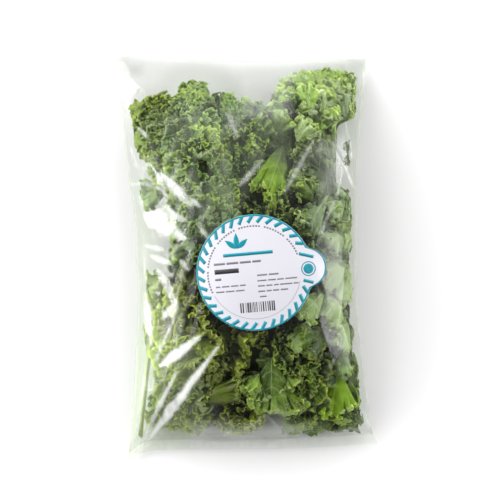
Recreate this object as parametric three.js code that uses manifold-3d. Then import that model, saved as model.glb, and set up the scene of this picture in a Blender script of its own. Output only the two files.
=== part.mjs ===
// A filled produce bag of kale, lying on its back.
//
// A clear film tube, sealed across its lower end and open at its flat mouth, holds a stack of
// curly and broad kale leaves. A die-cut paper sticker with a round tab lies on the front film.
//
// Frame: millimetres, +Z up, +Y towards the bag's mouth, +X to the right of someone who looks down on
// the front. The origin is the centre of the bag's footprint, on the surface that it lies on.
//
// Every piece is laid out with two bag coordinates: r runs from the bottom seal (0) to the mouth (1),
// and s runs from the left fold (-1) to the right fold (1). topZ and bottomZ give the height of
// the front and the back film there, and each leaf takes one of seven levels between them, so
// leaves that lie over each other never touch.
import * as THREE from "three";
import { mergeVertices } from "three/addons/utils/BufferGeometryUtils.js";
import Module from "manifold-3d";

// ---- driving dimensions ----
const FILM_T = 0.5; // wall that stands for the film
const SEAL_R = 0.026; // share of the bag's length in the bottom seal
const LEVELS = 7; // leaf levels between the back and the front film
const LOW_SHARE = 0.08, HIGH_SHARE = 0.92; // part of the inner height that the leaves use
const LAMINA_T = 2.0; // thickest lamina solid
const RIB_T = 4.6; // thickest midrib solid
const EDGE_S = 0.92; // leaves keep inside this share of the half width
const LABEL_C = [7.3, -12.1], LABEL_R = 52.6; // sticker disc
const TAB_C = [55.2, -7.4], TAB_R = 17.5; // sticker tab
const LABEL_GAP = 0.75, LABEL_T = 0.45;

// ---- outline of the bag seen from above ----
const LEFT = [[-109.9, -188.6], [-108.1, -173.9], [-106.3, -151.8], [-103.5, -129.7], [-101.7, -85.6], [-99.8, -52.4], [-99.8, -19.3], [-101.7, 2.8], [-101.7, 24.8], [-103.5, 46.9], [-108.1, 72.7], [-111.8, 102.1], [-115.5, 135.2], [-118.6, 155.5], [-121.0, 188.6]];
const RIGHT = [[121.0, -170.7], [114.9, -154.6], [110.9, -121.4], [105.8, -82.8], [101.7, -30.4], [101.2, 21.2], [101.9, 72.7], [103.2, 98.4], [104.4, 124.2], [107.0, 150.0], [109.0, 170.2], [110.5, 185.8]];
const BOTTOM = [[-1, -188.6], [-0.87, -178.6], [-0.74, -176.2], [-0.4, -175.7], [0.1, -175.2], [0.45, -173.9], [0.8, -172.0], [1, -170.7]];
const TOP = [[-1, 188.6], [-0.84, 188.2], [-0.65, 186.8], [-0.45, 184.4], [-0.2, 182.8], [0.15, 182.4], [0.35, 182.0], [0.5, 183.2], [0.7, 184.2], [0.87, 185.4], [1, 185.8]];
// height of the front film along the middle, and of the side folds
const CREST = [[0, 3.9], [0.024, 4.7], [0.05, 20], [0.09, 37], [0.128, 46], [0.2, 55], [0.3, 60], [0.46, 63.5], [0.64, 61], [0.76, 56], [0.84, 48], [0.9, 35], [0.94, 21], [0.965, 12], [1, 5.4]];
const FOLD = [[0, 3.0], [0.05, 6], [0.15, 10], [0.4, 14], [0.7, 14], [0.88, 9], [0.95, 5], [1, 2.8]];

// ---- leaves: name, level (0 lowest), half width, petiole share, midrib from cut end to tip ----
const LEAVES = [
  ["leaf_curly_01", 6, 33.0, 0.13, [[-20.0, -42.0], [-33.0, 25.0], [-48.0, 95.0], [-50.0, 166.0]]],
  ["leaf_broad_01", 6, 30.0, 0.1, [[74.0, -78.0], [77.0, 0.0], [72.0, 85.0], [66.0, 168.0]]],
  ["leaf_broad_02", 6, 24.0, 0.1, [[-6.0, -86.0], [12.0, -99.0], [30.0, -112.0], [46.0, -134.0]]],
  ["leaf_broad_03", 6, 25.0, 0.08, [[94.0, -84.0], [90.0, -106.0], [81.0, -128.0], [70.0, -152.0]]],
  ["leaf_curly_02", 5, 31.0, 0.14, [[18.0, -47.0], [15.0, 17.0], [2.0, 77.0], [-15.0, 150.0]]],
  ["leaf_curly_03", 5, 28.5, 0.12, [[-35.0, -3.0], [-50.0, -56.0], [-56.0, -111.0], [-50.0, -166.0]]],
  ["leaf_curly_04", 5, 24.0, 0.12, [[40.0, -40.0], [47.0, -79.0], [51.0, -120.0], [56.0, -162.0]]],
  ["leaf_curly_05", 5, 23.0, 0.12, [[-42.0, 50.0], [-64.0, 84.0], [-84.0, 114.0], [-104.0, 141.0]]],
  ["leaf_broad_04", 5, 17.0, 0.12, [[81.5, -32.0], [85.5, 27.0], [84.0, 82.0], [97.5, 148.0]]],
  ["leaf_broad_05", 4, 26.0, 0.14, [[36.0, -10.0], [38.0, 50.0], [40.0, 104.0], [42.0, 156.0]]],
  ["leaf_curly_06", 4, 26.0, 0.14, [[-20.0, -5.0], [-41.0, 40.0], [-64.0, 92.0], [-82.0, 150.0]]],
  ["leaf_curly_07", 4, 28.0, 0.12, [[0.0, -30.0], [3.0, -75.0], [0.0, -120.0], [-8.0, -162.0]]],
  ["leaf_stalk_01", 4, 15.6, 0.55, [[-100.7, -172.0], [-95.2, -129.7], [-86.9, -76.4], [-68.5, -23.9]]],
  ["leaf_broad_06", 4, 20.0, 0.12, [[52.0, -27.0], [74.0, -58.0], [88.0, -102.0], [98.0, -152.0]]],
  ["leaf_curly_08", 3, 31.0, 0.15, [[-12.0, 122.0], [-10.0, 40.0], [-14.0, -60.0], [-22.0, -162.0]]],
  ["leaf_broad_07", 3, 30.0, 0.15, [[60.0, 152.0], [70.0, 50.0], [72.0, -60.0], [78.0, -160.0]]],
  ["leaf_curly_09", 3, 12.0, 0.2, [[-62.0, 46.0], [-61.0, -28.0], [-68.0, -93.0], [-84.0, -160.0]]],
  ["leaf_curly_10", 2, 30.0, 0.15, [[-42.0, 139.0], [-38.0, 54.0], [-38.0, -47.0], [-50.0, -160.0]]],
  ["leaf_broad_08", 2, 36.8, 0.15, [[49.2, 153.6], [41.9, 54.3], [40.9, -46.9], [60.3, -155.5]]],
  ["leaf_curly_11", 1, 12.0, 0.15, [[-84.0, 117.0], [-58.0, 36.0], [-56.0, -50.0], [-88.0, -148.0]]],
  ["leaf_curly_12", 1, 28.0, 0.15, [[-6.0, -158.0], [-4.0, -56.0], [-6.0, 36.0], [-12.0, 138.0]]],
  ["leaf_broad_09", 1, 23.9, 0.15, [[75.0, 131.6], [69.5, 35.9], [71.3, -65.3], [86.0, -150.0]]],
  ["leaf_curly_13", 0, 28.0, 0.15, [[-52.0, -146.0], [-38.0, -38.0], [-38.0, 54.0], [-50.0, 134.0]]],
  ["leaf_broad_10", 0, 35.0, 0.15, [[45.5, -144.4], [38.2, -37.7], [40.0, 54.3], [51.1, 138.9]]],
];
// torn bits of leaf, loose at the right fold
const SCRAPS = [
  ["leaf_scrap_01", 2, 4.4, [[92.0, 108.0], [95.6, 98.6]]],
  ["leaf_scrap_02", 3, 4.0, [[91.0, 94.0], [96.0, 88.0]]],
  ["leaf_scrap_03", 2, 3.4, [[94.0, 64.0], [95.2, 55.6]]],
];

// ---- smooth lookup in a table of [key, value] rows, with no overshoot between rows ----
function lookup(rows, key) {
  const n = rows.length;
  if (key <= rows[0][0]) return rows[0][1];
  if (key >= rows[n - 1][0]) return rows[n - 1][1];
  let i = 0;
  while (key > rows[i + 1][0]) i++;
  const slope = (k) => (rows[k + 1][1] - rows[k][1]) / (rows[k + 1][0] - rows[k][0]);
  const tangent = (k) => {
    if (k === 0) return slope(0);
    if (k === n - 1) return slope(n - 2);
    const a = slope(k - 1), b = slope(k);
    return a * b <= 0 ? 0 : (2 * a * b) / (a + b);
  };
  const h = rows[i + 1][0] - rows[i][0], t = (key - rows[i][0]) / h;
  const m0 = tangent(i) * h, m1 = tangent(i + 1) * h, t2 = t * t, t3 = t2 * t;
  return (2 * t3 - 3 * t2 + 1) * rows[i][1] + (t3 - 2 * t2 + t) * m0 + (3 * t2 - 2 * t3) * rows[i + 1][1] + (t3 - t2) * m1;
}
const smooth = (a, b, x) => {
  const t = Math.min(1, Math.max(0, (x - a) / (b - a)));
  return t * t * (3 - 2 * t);
};
const LEFT_R = LEFT.map(([x, y]) => [(y - BOTTOM[0][1]) / (TOP[0][1] - BOTTOM[0][1]), x]);
const RIGHT_R = RIGHT.map(([x, y]) => [(y - BOTTOM.at(-1)[1]) / (TOP.at(-1)[1] - BOTTOM.at(-1)[1]), x]);

// ---- the bag's two films ----
function plan(r, s) {
  const yb = lookup(BOTTOM, s), yt = lookup(TOP, s);
  const xl = lookup(LEFT_R, r), xr = lookup(RIGHT_R, r);
  return [xl + ((xr - xl) * (s + 1)) / 2, yb + (yt - yb) * r];
}
function unplan(x, y) {
  let r = 0.5, s = 0;
  for (let i = 0; i < 8; i++) {
    const yb = lookup(BOTTOM, s), yt = lookup(TOP, s);
    r = (y - yb) / (yt - yb);
    const xl = lookup(LEFT_R, r), xr = lookup(RIGHT_R, r);
    s = Math.max(-1.2, Math.min(1.2, (2 * (x - xl)) / (xr - xl) - 1));
  }
  return [r, s];
}
function bottomZ(r, s) {
  const side = smooth(0.62, 1, Math.abs(s));
  const end = Math.max(1 - smooth(0, 0.11, r), smooth(0.88, 1, r));
  return lookup(FOLD, r) * (1 - (1 - side) * (1 - end));
}
function dome(r, s) {
  // the left shoulder slopes more gently than the right one along the middle of the bag
  const slack = s < 0 ? smooth(0.1, 0.4, r) * (1 - smooth(0.68, 0.85, r)) : 0;
  const p = 2.8 - 0.8 * slack, q = 0.7 + 0.2 * slack;
  return Math.pow(Math.max(0, 1 - Math.pow(Math.abs(s), p)), q);
}
function topZ(r, s) {
  const fold = lookup(FOLD, r);
  return Math.max(fold + (lookup(CREST, r) - fold) * dome(r, s), bottomZ(r, s) + 0.5);
}
function wall(r, s) {
  return Math.min(FILM_T, 0.3 * (topZ(r, s) - bottomZ(r, s)));
}

// Bends a box whose x runs over [-1, 1], y over [0, 1] and z over {0, 1}.
function bentBox(nx, ny, place) {
  const g = new THREE.BoxGeometry(2, 1, 1, nx, ny, 1);
  const p = g.getAttribute("position");
  for (let i = 0; i < p.count; i++) {
    const [x, y, z] = place(p.getX(i), p.getY(i) + 0.5, p.getZ(i) > 0 ? 1 : 0);
    p.setXYZ(i, x, y, z);
  }
  g.deleteAttribute("normal");
  g.deleteAttribute("uv");
  g.clearGroups();
  const merged = mergeVertices(g, 1e-4);
  merged.computeVertexNormals();
  return merged;
}

const wasm = await Module();
wasm.setup();
const solid = (g) => new wasm.Manifold(new wasm.Mesh({ numProp: 3, vertProperties: new Float32Array(g.getAttribute("position").array), triVerts: new Uint32Array(g.index.array) }));
function geometry(manifold) {
  const m = manifold.getMesh(), n = m.numProp, v = new Float32Array(m.numVert * 3);
  for (let i = 0; i < m.numVert; i++) v.set(m.vertProperties.subarray(i * n, i * n + 3), i * 3);
  const g = new THREE.BufferGeometry().setAttribute("position", new THREE.BufferAttribute(v, 3));
  g.setIndex(new THREE.BufferAttribute(new Uint32Array(m.triVerts), 1));
  g.computeVertexNormals();
  return g;
}

// The film's lattice: columns closer together towards the folds, rows closer together towards the ends.
const COLUMNS = 16, ROWS = 20;
const ROW = [[0, 0], [0.05, SEAL_R], [0.1, 0.05], [0.15, 0.08], [0.25, 0.15], [0.5, 0.45], [0.72, 0.75], [0.85, 0.89], [0.95, 0.972], [1, 1]];
const S_AT = Array.from({ length: COLUMNS + 1 }, (_, i) => Math.sin((((2 * i) / COLUMNS - 1) * Math.PI) / 2));
const R_AT = Array.from({ length: ROWS + 1 }, (_, j) => lookup(ROW, j / ROWS));
function cell(list, value) {
  let i = 0;
  while (i < list.length - 2 && value > list[i + 1]) i++;
  return [i, (value - list[i]) / (list[i + 1] - list[i])];
}
const FILM = R_AT.map((r) => S_AT.map((s) => [...plan(r, s), topZ(r, s), bottomZ(r, s), wall(r, s)]));
// x, y, front height, back height and wall of the flat-faceted film
function film(r, s) {
  const [j, v] = cell(R_AT, r), [i, u] = cell(S_AT, s);
  const a = FILM[j][i], b = FILM[j][i + 1], c = FILM[j + 1][i], d = FILM[j + 1][i + 1];
  return a.map((_, k) => (a[k] * (1 - u) + b[k] * u) * (1 - v) + (c[k] * (1 - u) + d[k] * u) * v);
}

function bag() {
  const outer = bentBox(COLUMNS, ROWS, (x, y, z) => {
    const [px, py, top, low] = FILM[Math.round(y * ROWS)][Math.round(((x + 1) / 2) * COLUMNS)];
    return [px, py, z ? top : low];
  });
  // the inside follows the same lattice from the seal on, and runs out past the mouth
  const inner = bentBox(COLUMNS, ROWS, (x, y, z) => {
    const j = Math.round(y * ROWS), r = j < ROWS ? R_AT[j + 1] : 1.012;
    const s = Math.max(-0.985, Math.min(0.985, S_AT[Math.round(((x + 1) / 2) * COLUMNS)]));
    const [px, py, top, low, t] = film(Math.min(r, 1), s);
    const wallHere = Math.abs(s) === 0.985 ? 0.42 * (top - low) : t; // the room inside tapers to the fold
    return [px, j < ROWS ? py : py + 5, z ? top - wallHere : low + wallHere];
  });
  return geometry(solid(outer).subtract(solid(inner)));
}

// ---- leaves ----
// A slow rise and fall that every level shares, so the stack isn't flat and still never crosses.
const wave = (x, y) => 0.6 * Math.sin(x / 21 + 1.1) * Math.cos(y / 30) + 0.4 * Math.sin(y / 17 - x / 40);
function levelHeight(level, r, s) {
  const [x, y, top, back, t] = film(r, s);
  const low = back + t, high = top - t, h = high - low;
  const f = LOW_SHARE + ((HIGH_SHARE - LOW_SHARE) * (level + 0.5)) / LEVELS;
  const w = wave(x, y);
  return { z: low + h * (f + 0.35 * f * (1 - f) * w), pitch: (h * (HIGH_SHARE - LOW_SHARE) * (1 + 0.35 * w * (1 - 2 * f))) / LEVELS };
}
function leaf(level, halfWidth, petiole, midrib, rows, seed) {
  const curve = new THREE.CatmullRomCurve3(midrib.map(([x, y]) => new THREE.Vector3(x, y, 0)), false, "centripetal");
  const length = curve.getLength();
  const COLS = [-1, -0.5, 0, 0, 0.5, 1]; // the two middle columns are the sides of the rib
  return bentBox(5, rows, (x, y, z) => {
    const i = Math.round((x + 1) * 2.5), p = curve.getPointAt(y), d = curve.getTangentAt(y);
    const rib = (petiole > 0 ? 1 : 0.3) * (3.4 - 2.6 * y) * Math.min(1, halfWidth / 22);
    const q = Math.max(0, (y - petiole) / (1 - petiole));
    const lobes = 1 + 0.12 * Math.sin(2 * Math.PI * 4.5 * q + seed);
    const width = rib + 0.7 + (halfWidth - rib) * Math.pow(Math.sin(Math.PI * Math.pow(q, 0.8)), 0.6) * lobes;
    const side = i < 2.5 ? -1 : 1, inner = i === 2 || i === 3;
    const v = inner ? side * rib : side * (rib + (width - rib) * Math.abs(COLS[i]));
    let [r, s] = unplan(p.x + d.y * v, p.y - d.x * v);
    s = Math.max(-EDGE_S, Math.min(EDGE_S, s));
    r = Math.max(0.04, Math.min(0.972, r));
    const at = levelHeight(level, r, s), [px, py] = film(r, s);
    const t = inner ? Math.min(petiole > 0 ? RIB_T * (1 - 0.7 * y) : 0.8, 0.56 * at.pitch) : Math.min(LAMINA_T, 0.36 * at.pitch);
    return [px, py, at.z + (z ? 0.5 : -0.5) * Math.max(0.25, t)];
  });
}

// ---- sticker: a disc and its tab, laid on the front film ----
function sticker() {
  const rings = [0, 0.3, 0.6, 0.85, 1];
  const profile = [...rings.map((q) => new THREE.Vector2(q, 0)), ...rings.slice().reverse().map((q) => new THREE.Vector2(q, 1))];
  const g = new THREE.LatheGeometry(profile, 60);
  const p = g.getAttribute("position");
  const dx = TAB_C[0] - LABEL_C[0], dy = TAB_C[1] - LABEL_C[1];
  for (let i = 0; i < p.count; i++) {
    const q = Math.hypot(p.getX(i), p.getZ(i)), a = Math.atan2(p.getZ(i), p.getX(i));
    const along = dx * Math.cos(a) + dy * Math.sin(a), off = dx * dx + dy * dy - along * along;
    const tab = along > 0 && off < TAB_R * TAB_R ? along + Math.sqrt(TAB_R * TAB_R - off) : 0;
    const radius = q * Math.max(LABEL_R, tab);
    const x = LABEL_C[0] + radius * Math.cos(a), y = LABEL_C[1] + radius * Math.sin(a);
    const [r, s] = unplan(x, y);
    p.setXYZ(i, x, y, topZ(r, s) + LABEL_GAP + (p.getY(i) > 0.5 ? LABEL_T : 0));
  }
  g.deleteAttribute("normal");
  g.deleteAttribute("uv");
  const merged = mergeVertices(g, 1e-3), k = merged.index.array, kept = [];
  for (let i = 0; i < k.length; i += 3) if (k[i] !== k[i + 1] && k[i + 1] !== k[i + 2] && k[i] !== k[i + 2]) kept.push(k[i], k[i + 1], k[i + 2]);
  merged.setIndex(kept);
  if (solid(merged).volume() < 0) merged.setIndex(kept.map((_, i) => kept[i - (i % 3) + [0, 2, 1][i % 3]]));
  merged.computeVertexNormals();
  return merged;
}

const group = new THREE.Group();
function add(name, g, color, roughness, extra = {}) {
  const mesh = new THREE.Mesh(g, new THREE.MeshStandardMaterial({ color, roughness, metalness: 0, ...extra }));
  mesh.name = name;
  group.add(mesh);
}
add("bag_film", bag(), 0xf2f4f0, 0.12, { transparent: true, opacity: 0.2 });
add("label_sticker", sticker(), 0xf3f2f5, 0.45);
LEAVES.forEach(([name, level, halfWidth, petiole, midrib], i) => {
  add(name, leaf(level, halfWidth, petiole, midrib, 12, 1.7 * i), name.includes("broad") ? 0x8aa866 : 0x4f7d33, 0.55);
});
SCRAPS.forEach(([name, level, halfWidth, midrib], i) => {
  add(name, leaf(level, halfWidth, 0, midrib, 3, i), 0x7d9a4e, 0.6);
});

export default group;
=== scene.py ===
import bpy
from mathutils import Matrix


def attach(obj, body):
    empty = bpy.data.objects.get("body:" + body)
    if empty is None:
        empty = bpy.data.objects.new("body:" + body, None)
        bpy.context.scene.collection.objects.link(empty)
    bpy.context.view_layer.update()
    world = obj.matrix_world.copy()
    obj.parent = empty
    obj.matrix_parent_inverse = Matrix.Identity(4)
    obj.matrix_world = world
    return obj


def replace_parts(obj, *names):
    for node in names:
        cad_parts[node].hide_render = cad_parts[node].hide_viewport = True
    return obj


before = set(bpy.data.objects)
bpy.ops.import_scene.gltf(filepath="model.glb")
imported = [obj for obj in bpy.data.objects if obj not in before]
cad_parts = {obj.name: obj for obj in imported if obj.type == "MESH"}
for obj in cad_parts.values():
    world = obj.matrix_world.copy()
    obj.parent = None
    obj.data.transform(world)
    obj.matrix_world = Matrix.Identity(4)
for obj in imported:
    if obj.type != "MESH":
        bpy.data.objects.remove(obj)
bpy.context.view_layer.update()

import math
import bpy
import numpy as np

MM = 0.001

# ---------------------------------------------------------------- the bag's outline and height tables, in mm, as in the CAD part
LEFT = [(-109.9, -188.6), (-108.1, -173.9), (-106.3, -151.8), (-103.5, -129.7), (-101.7, -85.6), (-99.8, -52.4), (-99.8, -19.3), (-101.7, 2.8), (-101.7, 24.8), (-103.5, 46.9), (-108.1, 72.7), (-111.8, 102.1), (-115.5, 135.2), (-118.6, 155.5), (-121.0, 188.6)]
RIGHT = [(121.0, -170.7), (114.9, -154.6), (110.9, -121.4), (105.8, -82.8), (101.7, -30.4), (101.2, 21.2), (101.9, 72.7), (103.2, 98.4), (104.4, 124.2), (107.0, 150.0), (109.0, 170.2), (110.5, 185.8)]
BOTTOM = [(-1, -188.6), (-0.87, -178.6), (-0.74, -176.2), (-0.4, -175.7), (0.1, -175.2), (0.45, -173.9), (0.8, -172.0), (1, -170.7)]
TOP = [(-1, 188.6), (-0.84, 188.2), (-0.65, 186.8), (-0.45, 184.4), (-0.2, 182.8), (0.15, 182.4), (0.35, 182.0), (0.5, 183.2), (0.7, 184.2), (0.87, 185.4), (1, 185.8)]
CREST = [(0, 3.9), (0.024, 4.7), (0.05, 20), (0.09, 37), (0.128, 46), (0.2, 55), (0.3, 60), (0.46, 63.5), (0.64, 61), (0.76, 56), (0.84, 47), (0.88, 39), (0.92, 28.5), (0.96, 17), (1, 5.4)]
FOLD = [(0, 3.0), (0.05, 6), (0.15, 10), (0.4, 14), (0.7, 14), (0.88, 9), (0.95, 5), (1, 2.8)]
SEAL_R = 0.026
LEVELS, LOW_SHARE, HIGH_SHARE = 7, 0.08, 0.92
LABEL_C, LABEL_R = (7.3, -12.1), 52.6
TAB_C, TAB_R = (55.2, -7.4), 17.5

LEAVES = [
    ("leaf_curly_01", 6, 33.0, 0.13, [(-20.0, -42.0), (-33.0, 25.0), (-48.0, 95.0), (-50.0, 166.0)]),
    ("leaf_broad_01", 6, 30.0, 0.1, [(74.0, -78.0), (77.0, 0.0), (72.0, 85.0), (66.0, 168.0)]),
    ("leaf_broad_02", 6, 24.0, 0.1, [(-6.0, -86.0), (12.0, -99.0), (30.0, -112.0), (46.0, -134.0)]),
    ("leaf_broad_03", 6, 25.0, 0.08, [(94.0, -84.0), (90.0, -106.0), (81.0, -128.0), (70.0, -152.0)]),
    ("leaf_curly_02", 5, 31.0, 0.14, [(18.0, -47.0), (15.0, 17.0), (2.0, 77.0), (-15.0, 150.0)]),
    ("leaf_curly_03", 5, 28.5, 0.12, [(-35.0, -3.0), (-50.0, -56.0), (-56.0, -111.0), (-50.0, -166.0)]),
    ("leaf_curly_04", 5, 24.0, 0.12, [(40.0, -40.0), (47.0, -79.0), (51.0, -120.0), (56.0, -162.0)]),
    ("leaf_curly_05", 5, 23.0, 0.12, [(-42.0, 50.0), (-64.0, 84.0), (-84.0, 114.0), (-104.0, 141.0)]),
    ("leaf_broad_04", 5, 17.0, 0.12, [(81.5, -32.0), (85.5, 27.0), (84.0, 82.0), (97.5, 148.0)]),
    ("leaf_broad_05", 4, 26.0, 0.14, [(36.0, -10.0), (38.0, 50.0), (40.0, 104.0), (42.0, 156.0)]),
    ("leaf_curly_06", 4, 26.0, 0.14, [(-20.0, -5.0), (-41.0, 40.0), (-64.0, 92.0), (-82.0, 150.0)]),
    ("leaf_curly_07", 4, 28.0, 0.12, [(0.0, -30.0), (3.0, -75.0), (0.0, -120.0), (-8.0, -162.0)]),
    ("leaf_stalk_01", 4, 15.6, 0.55, [(-100.7, -172.0), (-95.2, -129.7), (-86.9, -76.4), (-68.5, -23.9)]),
    ("leaf_broad_06", 4, 20.0, 0.12, [(52.0, -27.0), (74.0, -58.0), (88.0, -102.0), (98.0, -152.0)]),
    ("leaf_curly_08", 3, 31.0, 0.15, [(-12.0, 122.0), (-10.0, 40.0), (-14.0, -60.0), (-22.0, -162.0)]),
    ("leaf_broad_07", 3, 30.0, 0.15, [(60.0, 152.0), (70.0, 50.0), (72.0, -60.0), (78.0, -160.0)]),
    ("leaf_curly_09", 3, 12.0, 0.2, [(-62.0, 46.0), (-61.0, -28.0), (-68.0, -93.0), (-84.0, -160.0)]),
    ("leaf_curly_10", 2, 30.0, 0.15, [(-42.0, 139.0), (-38.0, 54.0), (-38.0, -47.0), (-50.0, -160.0)]),
    ("leaf_broad_08", 2, 36.8, 0.15, [(49.2, 153.6), (41.9, 54.3), (40.9, -46.9), (60.3, -155.5)]),
    ("leaf_curly_11", 1, 12.0, 0.15, [(-84.0, 117.0), (-58.0, 36.0), (-56.0, -50.0), (-88.0, -148.0)]),
    ("leaf_curly_12", 1, 28.0, 0.15, [(-6.0, -158.0), (-4.0, -56.0), (-6.0, 36.0), (-12.0, 138.0)]),
    ("leaf_broad_09", 1, 23.9, 0.15, [(75.0, 131.6), (69.5, 35.9), (71.3, -65.3), (86.0, -150.0)]),
    ("leaf_curly_13", 0, 28.0, 0.15, [(-52.0, -146.0), (-38.0, -38.0), (-38.0, 54.0), (-50.0, 134.0)]),
    ("leaf_broad_10", 0, 35.0, 0.15, [(45.5, -144.4), (38.2, -37.7), (40.0, 54.3), (51.1, 138.9)]),
]
SCRAPS = [
    ("leaf_scrap_01", 2, 4.4, [(92.0, 108.0), (95.6, 98.6)]),
    ("leaf_scrap_02", 3, 4.0, [(91.0, 94.0), (96.0, 88.0)]),
    ("leaf_scrap_03", 2, 3.4, [(94.0, 64.0), (95.2, 55.6)]),
]
# what each leaf looks like from above: curl (0 flat .. 1 tight), upper face up, colour set, detail, lightness (set low
# as painted shade for the deep leaves curly_04, broad_06, broad_07 and broad_08), warmth, bare stretch of midrib
LOOK = {
    "leaf_curly_01": (1.0, 1, "curly", 1.0, -0.1, 0.25, (2, 2)), "leaf_curly_02": (1.0, 1, "curly", 1.0, 0.1, 0.3, (2, 2)),
    "leaf_curly_03": (1.0, 1, "umber", 1.0, 0.65, 0.65, (2, 2)), "leaf_curly_04": (0.85, 1, "curly", 1.0, -1.0, 0.55, (2, 2)),
    "leaf_curly_05": (1.0, 1, "curly", 0.9, -0.35, 0.75, (2, 2)), "leaf_curly_06": (1.0, 1, "curly", 0.9, -0.25, 0.5, (2, 2)),
    "leaf_curly_07": (0.9, 1, "umber", 0.9, 0.35, 0.6, (0.0, 0.45)), "leaf_curly_08": (0.9, 1, "curly", 0.8, -0.35, 0.3, (2, 2)),
    "leaf_curly_09": (0.8, 1, "bright", 0.7, 0.5, 0.7, (2, 2)), "leaf_curly_10": (0.8, 1, "curly", 0.55, -0.5, 0.3, (2, 2)),
    "leaf_curly_11": (0.8, 1, "curly", 0.5, -0.4, 0.4, (2, 2)), "leaf_curly_12": (0.8, 1, "curly", 0.45, -0.4, 0.4, (2, 2)),
    "leaf_curly_13": (0.7, 0, "curly", 0.45, 0.0, 0.4, (2, 2)),
    "leaf_broad_01": (0.32, 0, "pale", 1.0, -0.6, 0.3, (2, 2)), "leaf_broad_02": (0.35, 1, "pale", 0.9, 0.0, 0.6, (2, 2)),
    "leaf_broad_03": (0.4, 1, "curly", 0.9, -0.5, 0.7, (2, 2)), "leaf_broad_04": (0.35, 0, "pale", 0.8, -0.35, 0.3, (2, 2)),
    "leaf_broad_05": (0.5, 1, "bright", 0.9, -0.3, 0.4, (2, 2)), "leaf_broad_06": (0.5, 1, "curly", 0.8, -0.9, 0.6, (2, 2)),
    "leaf_broad_07": (0.5, 1, "curly", 0.7, -1.2, 0.4, (2, 2)), "leaf_broad_08": (0.5, 0, "curly", 0.5, -1.1, 0.3, (2, 2)),
    "leaf_broad_09": (0.5, 1, "curly", 0.45, -0.4, 0.4, (2, 2)), "leaf_broad_10": (0.5, 0, "pale", 0.45, 0.0, 0.4, (2, 2)),
    "leaf_stalk_01": (0.5, 0, "stalk", 0.8, 0.1, 0.5, (2, 2)),
}
# midribs that the crumpled blade hides, against full size
RIB = {"leaf_curly_07": 1.35, "leaf_broad_01": 0.3, "leaf_broad_02": 0.2, "leaf_broad_03": 0.6, "leaf_broad_04": 0.5, "leaf_curly_01": 0.8, "leaf_stalk_01": 1.6}
# size of the frills, against the common size
FRILL = {"leaf_curly_03": 1.35, "leaf_curly_07": 1.35, "leaf_curly_01": 1.1, "leaf_curly_04": 1.25, "leaf_curly_06": 1.15, "leaf_curly_09": 1.2}
# places kept free for the big lobes on top: x, y, radius
CLEAR = [(77.0, -127.0, 21.0), (22.0, -116.0, 20.0), (92.0, -20.0, 14.0), (44.0, -62.0, 14.0), (25.0, 82.0, 15.0), (62.0, -6.0, 12.0)]
# how far the stalk end dips under its neighbours, mm
SINK = {"leaf_curly_07": -7.5, "leaf_broad_02": 12.0, "leaf_broad_01": 4.0, "leaf_curly_03": 3.0}
# broad leaves whose common lobes have crimped rims
FRILLED = ("leaf_broad_01", "leaf_broad_04", "leaf_broad_05", "leaf_broad_06")
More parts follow.
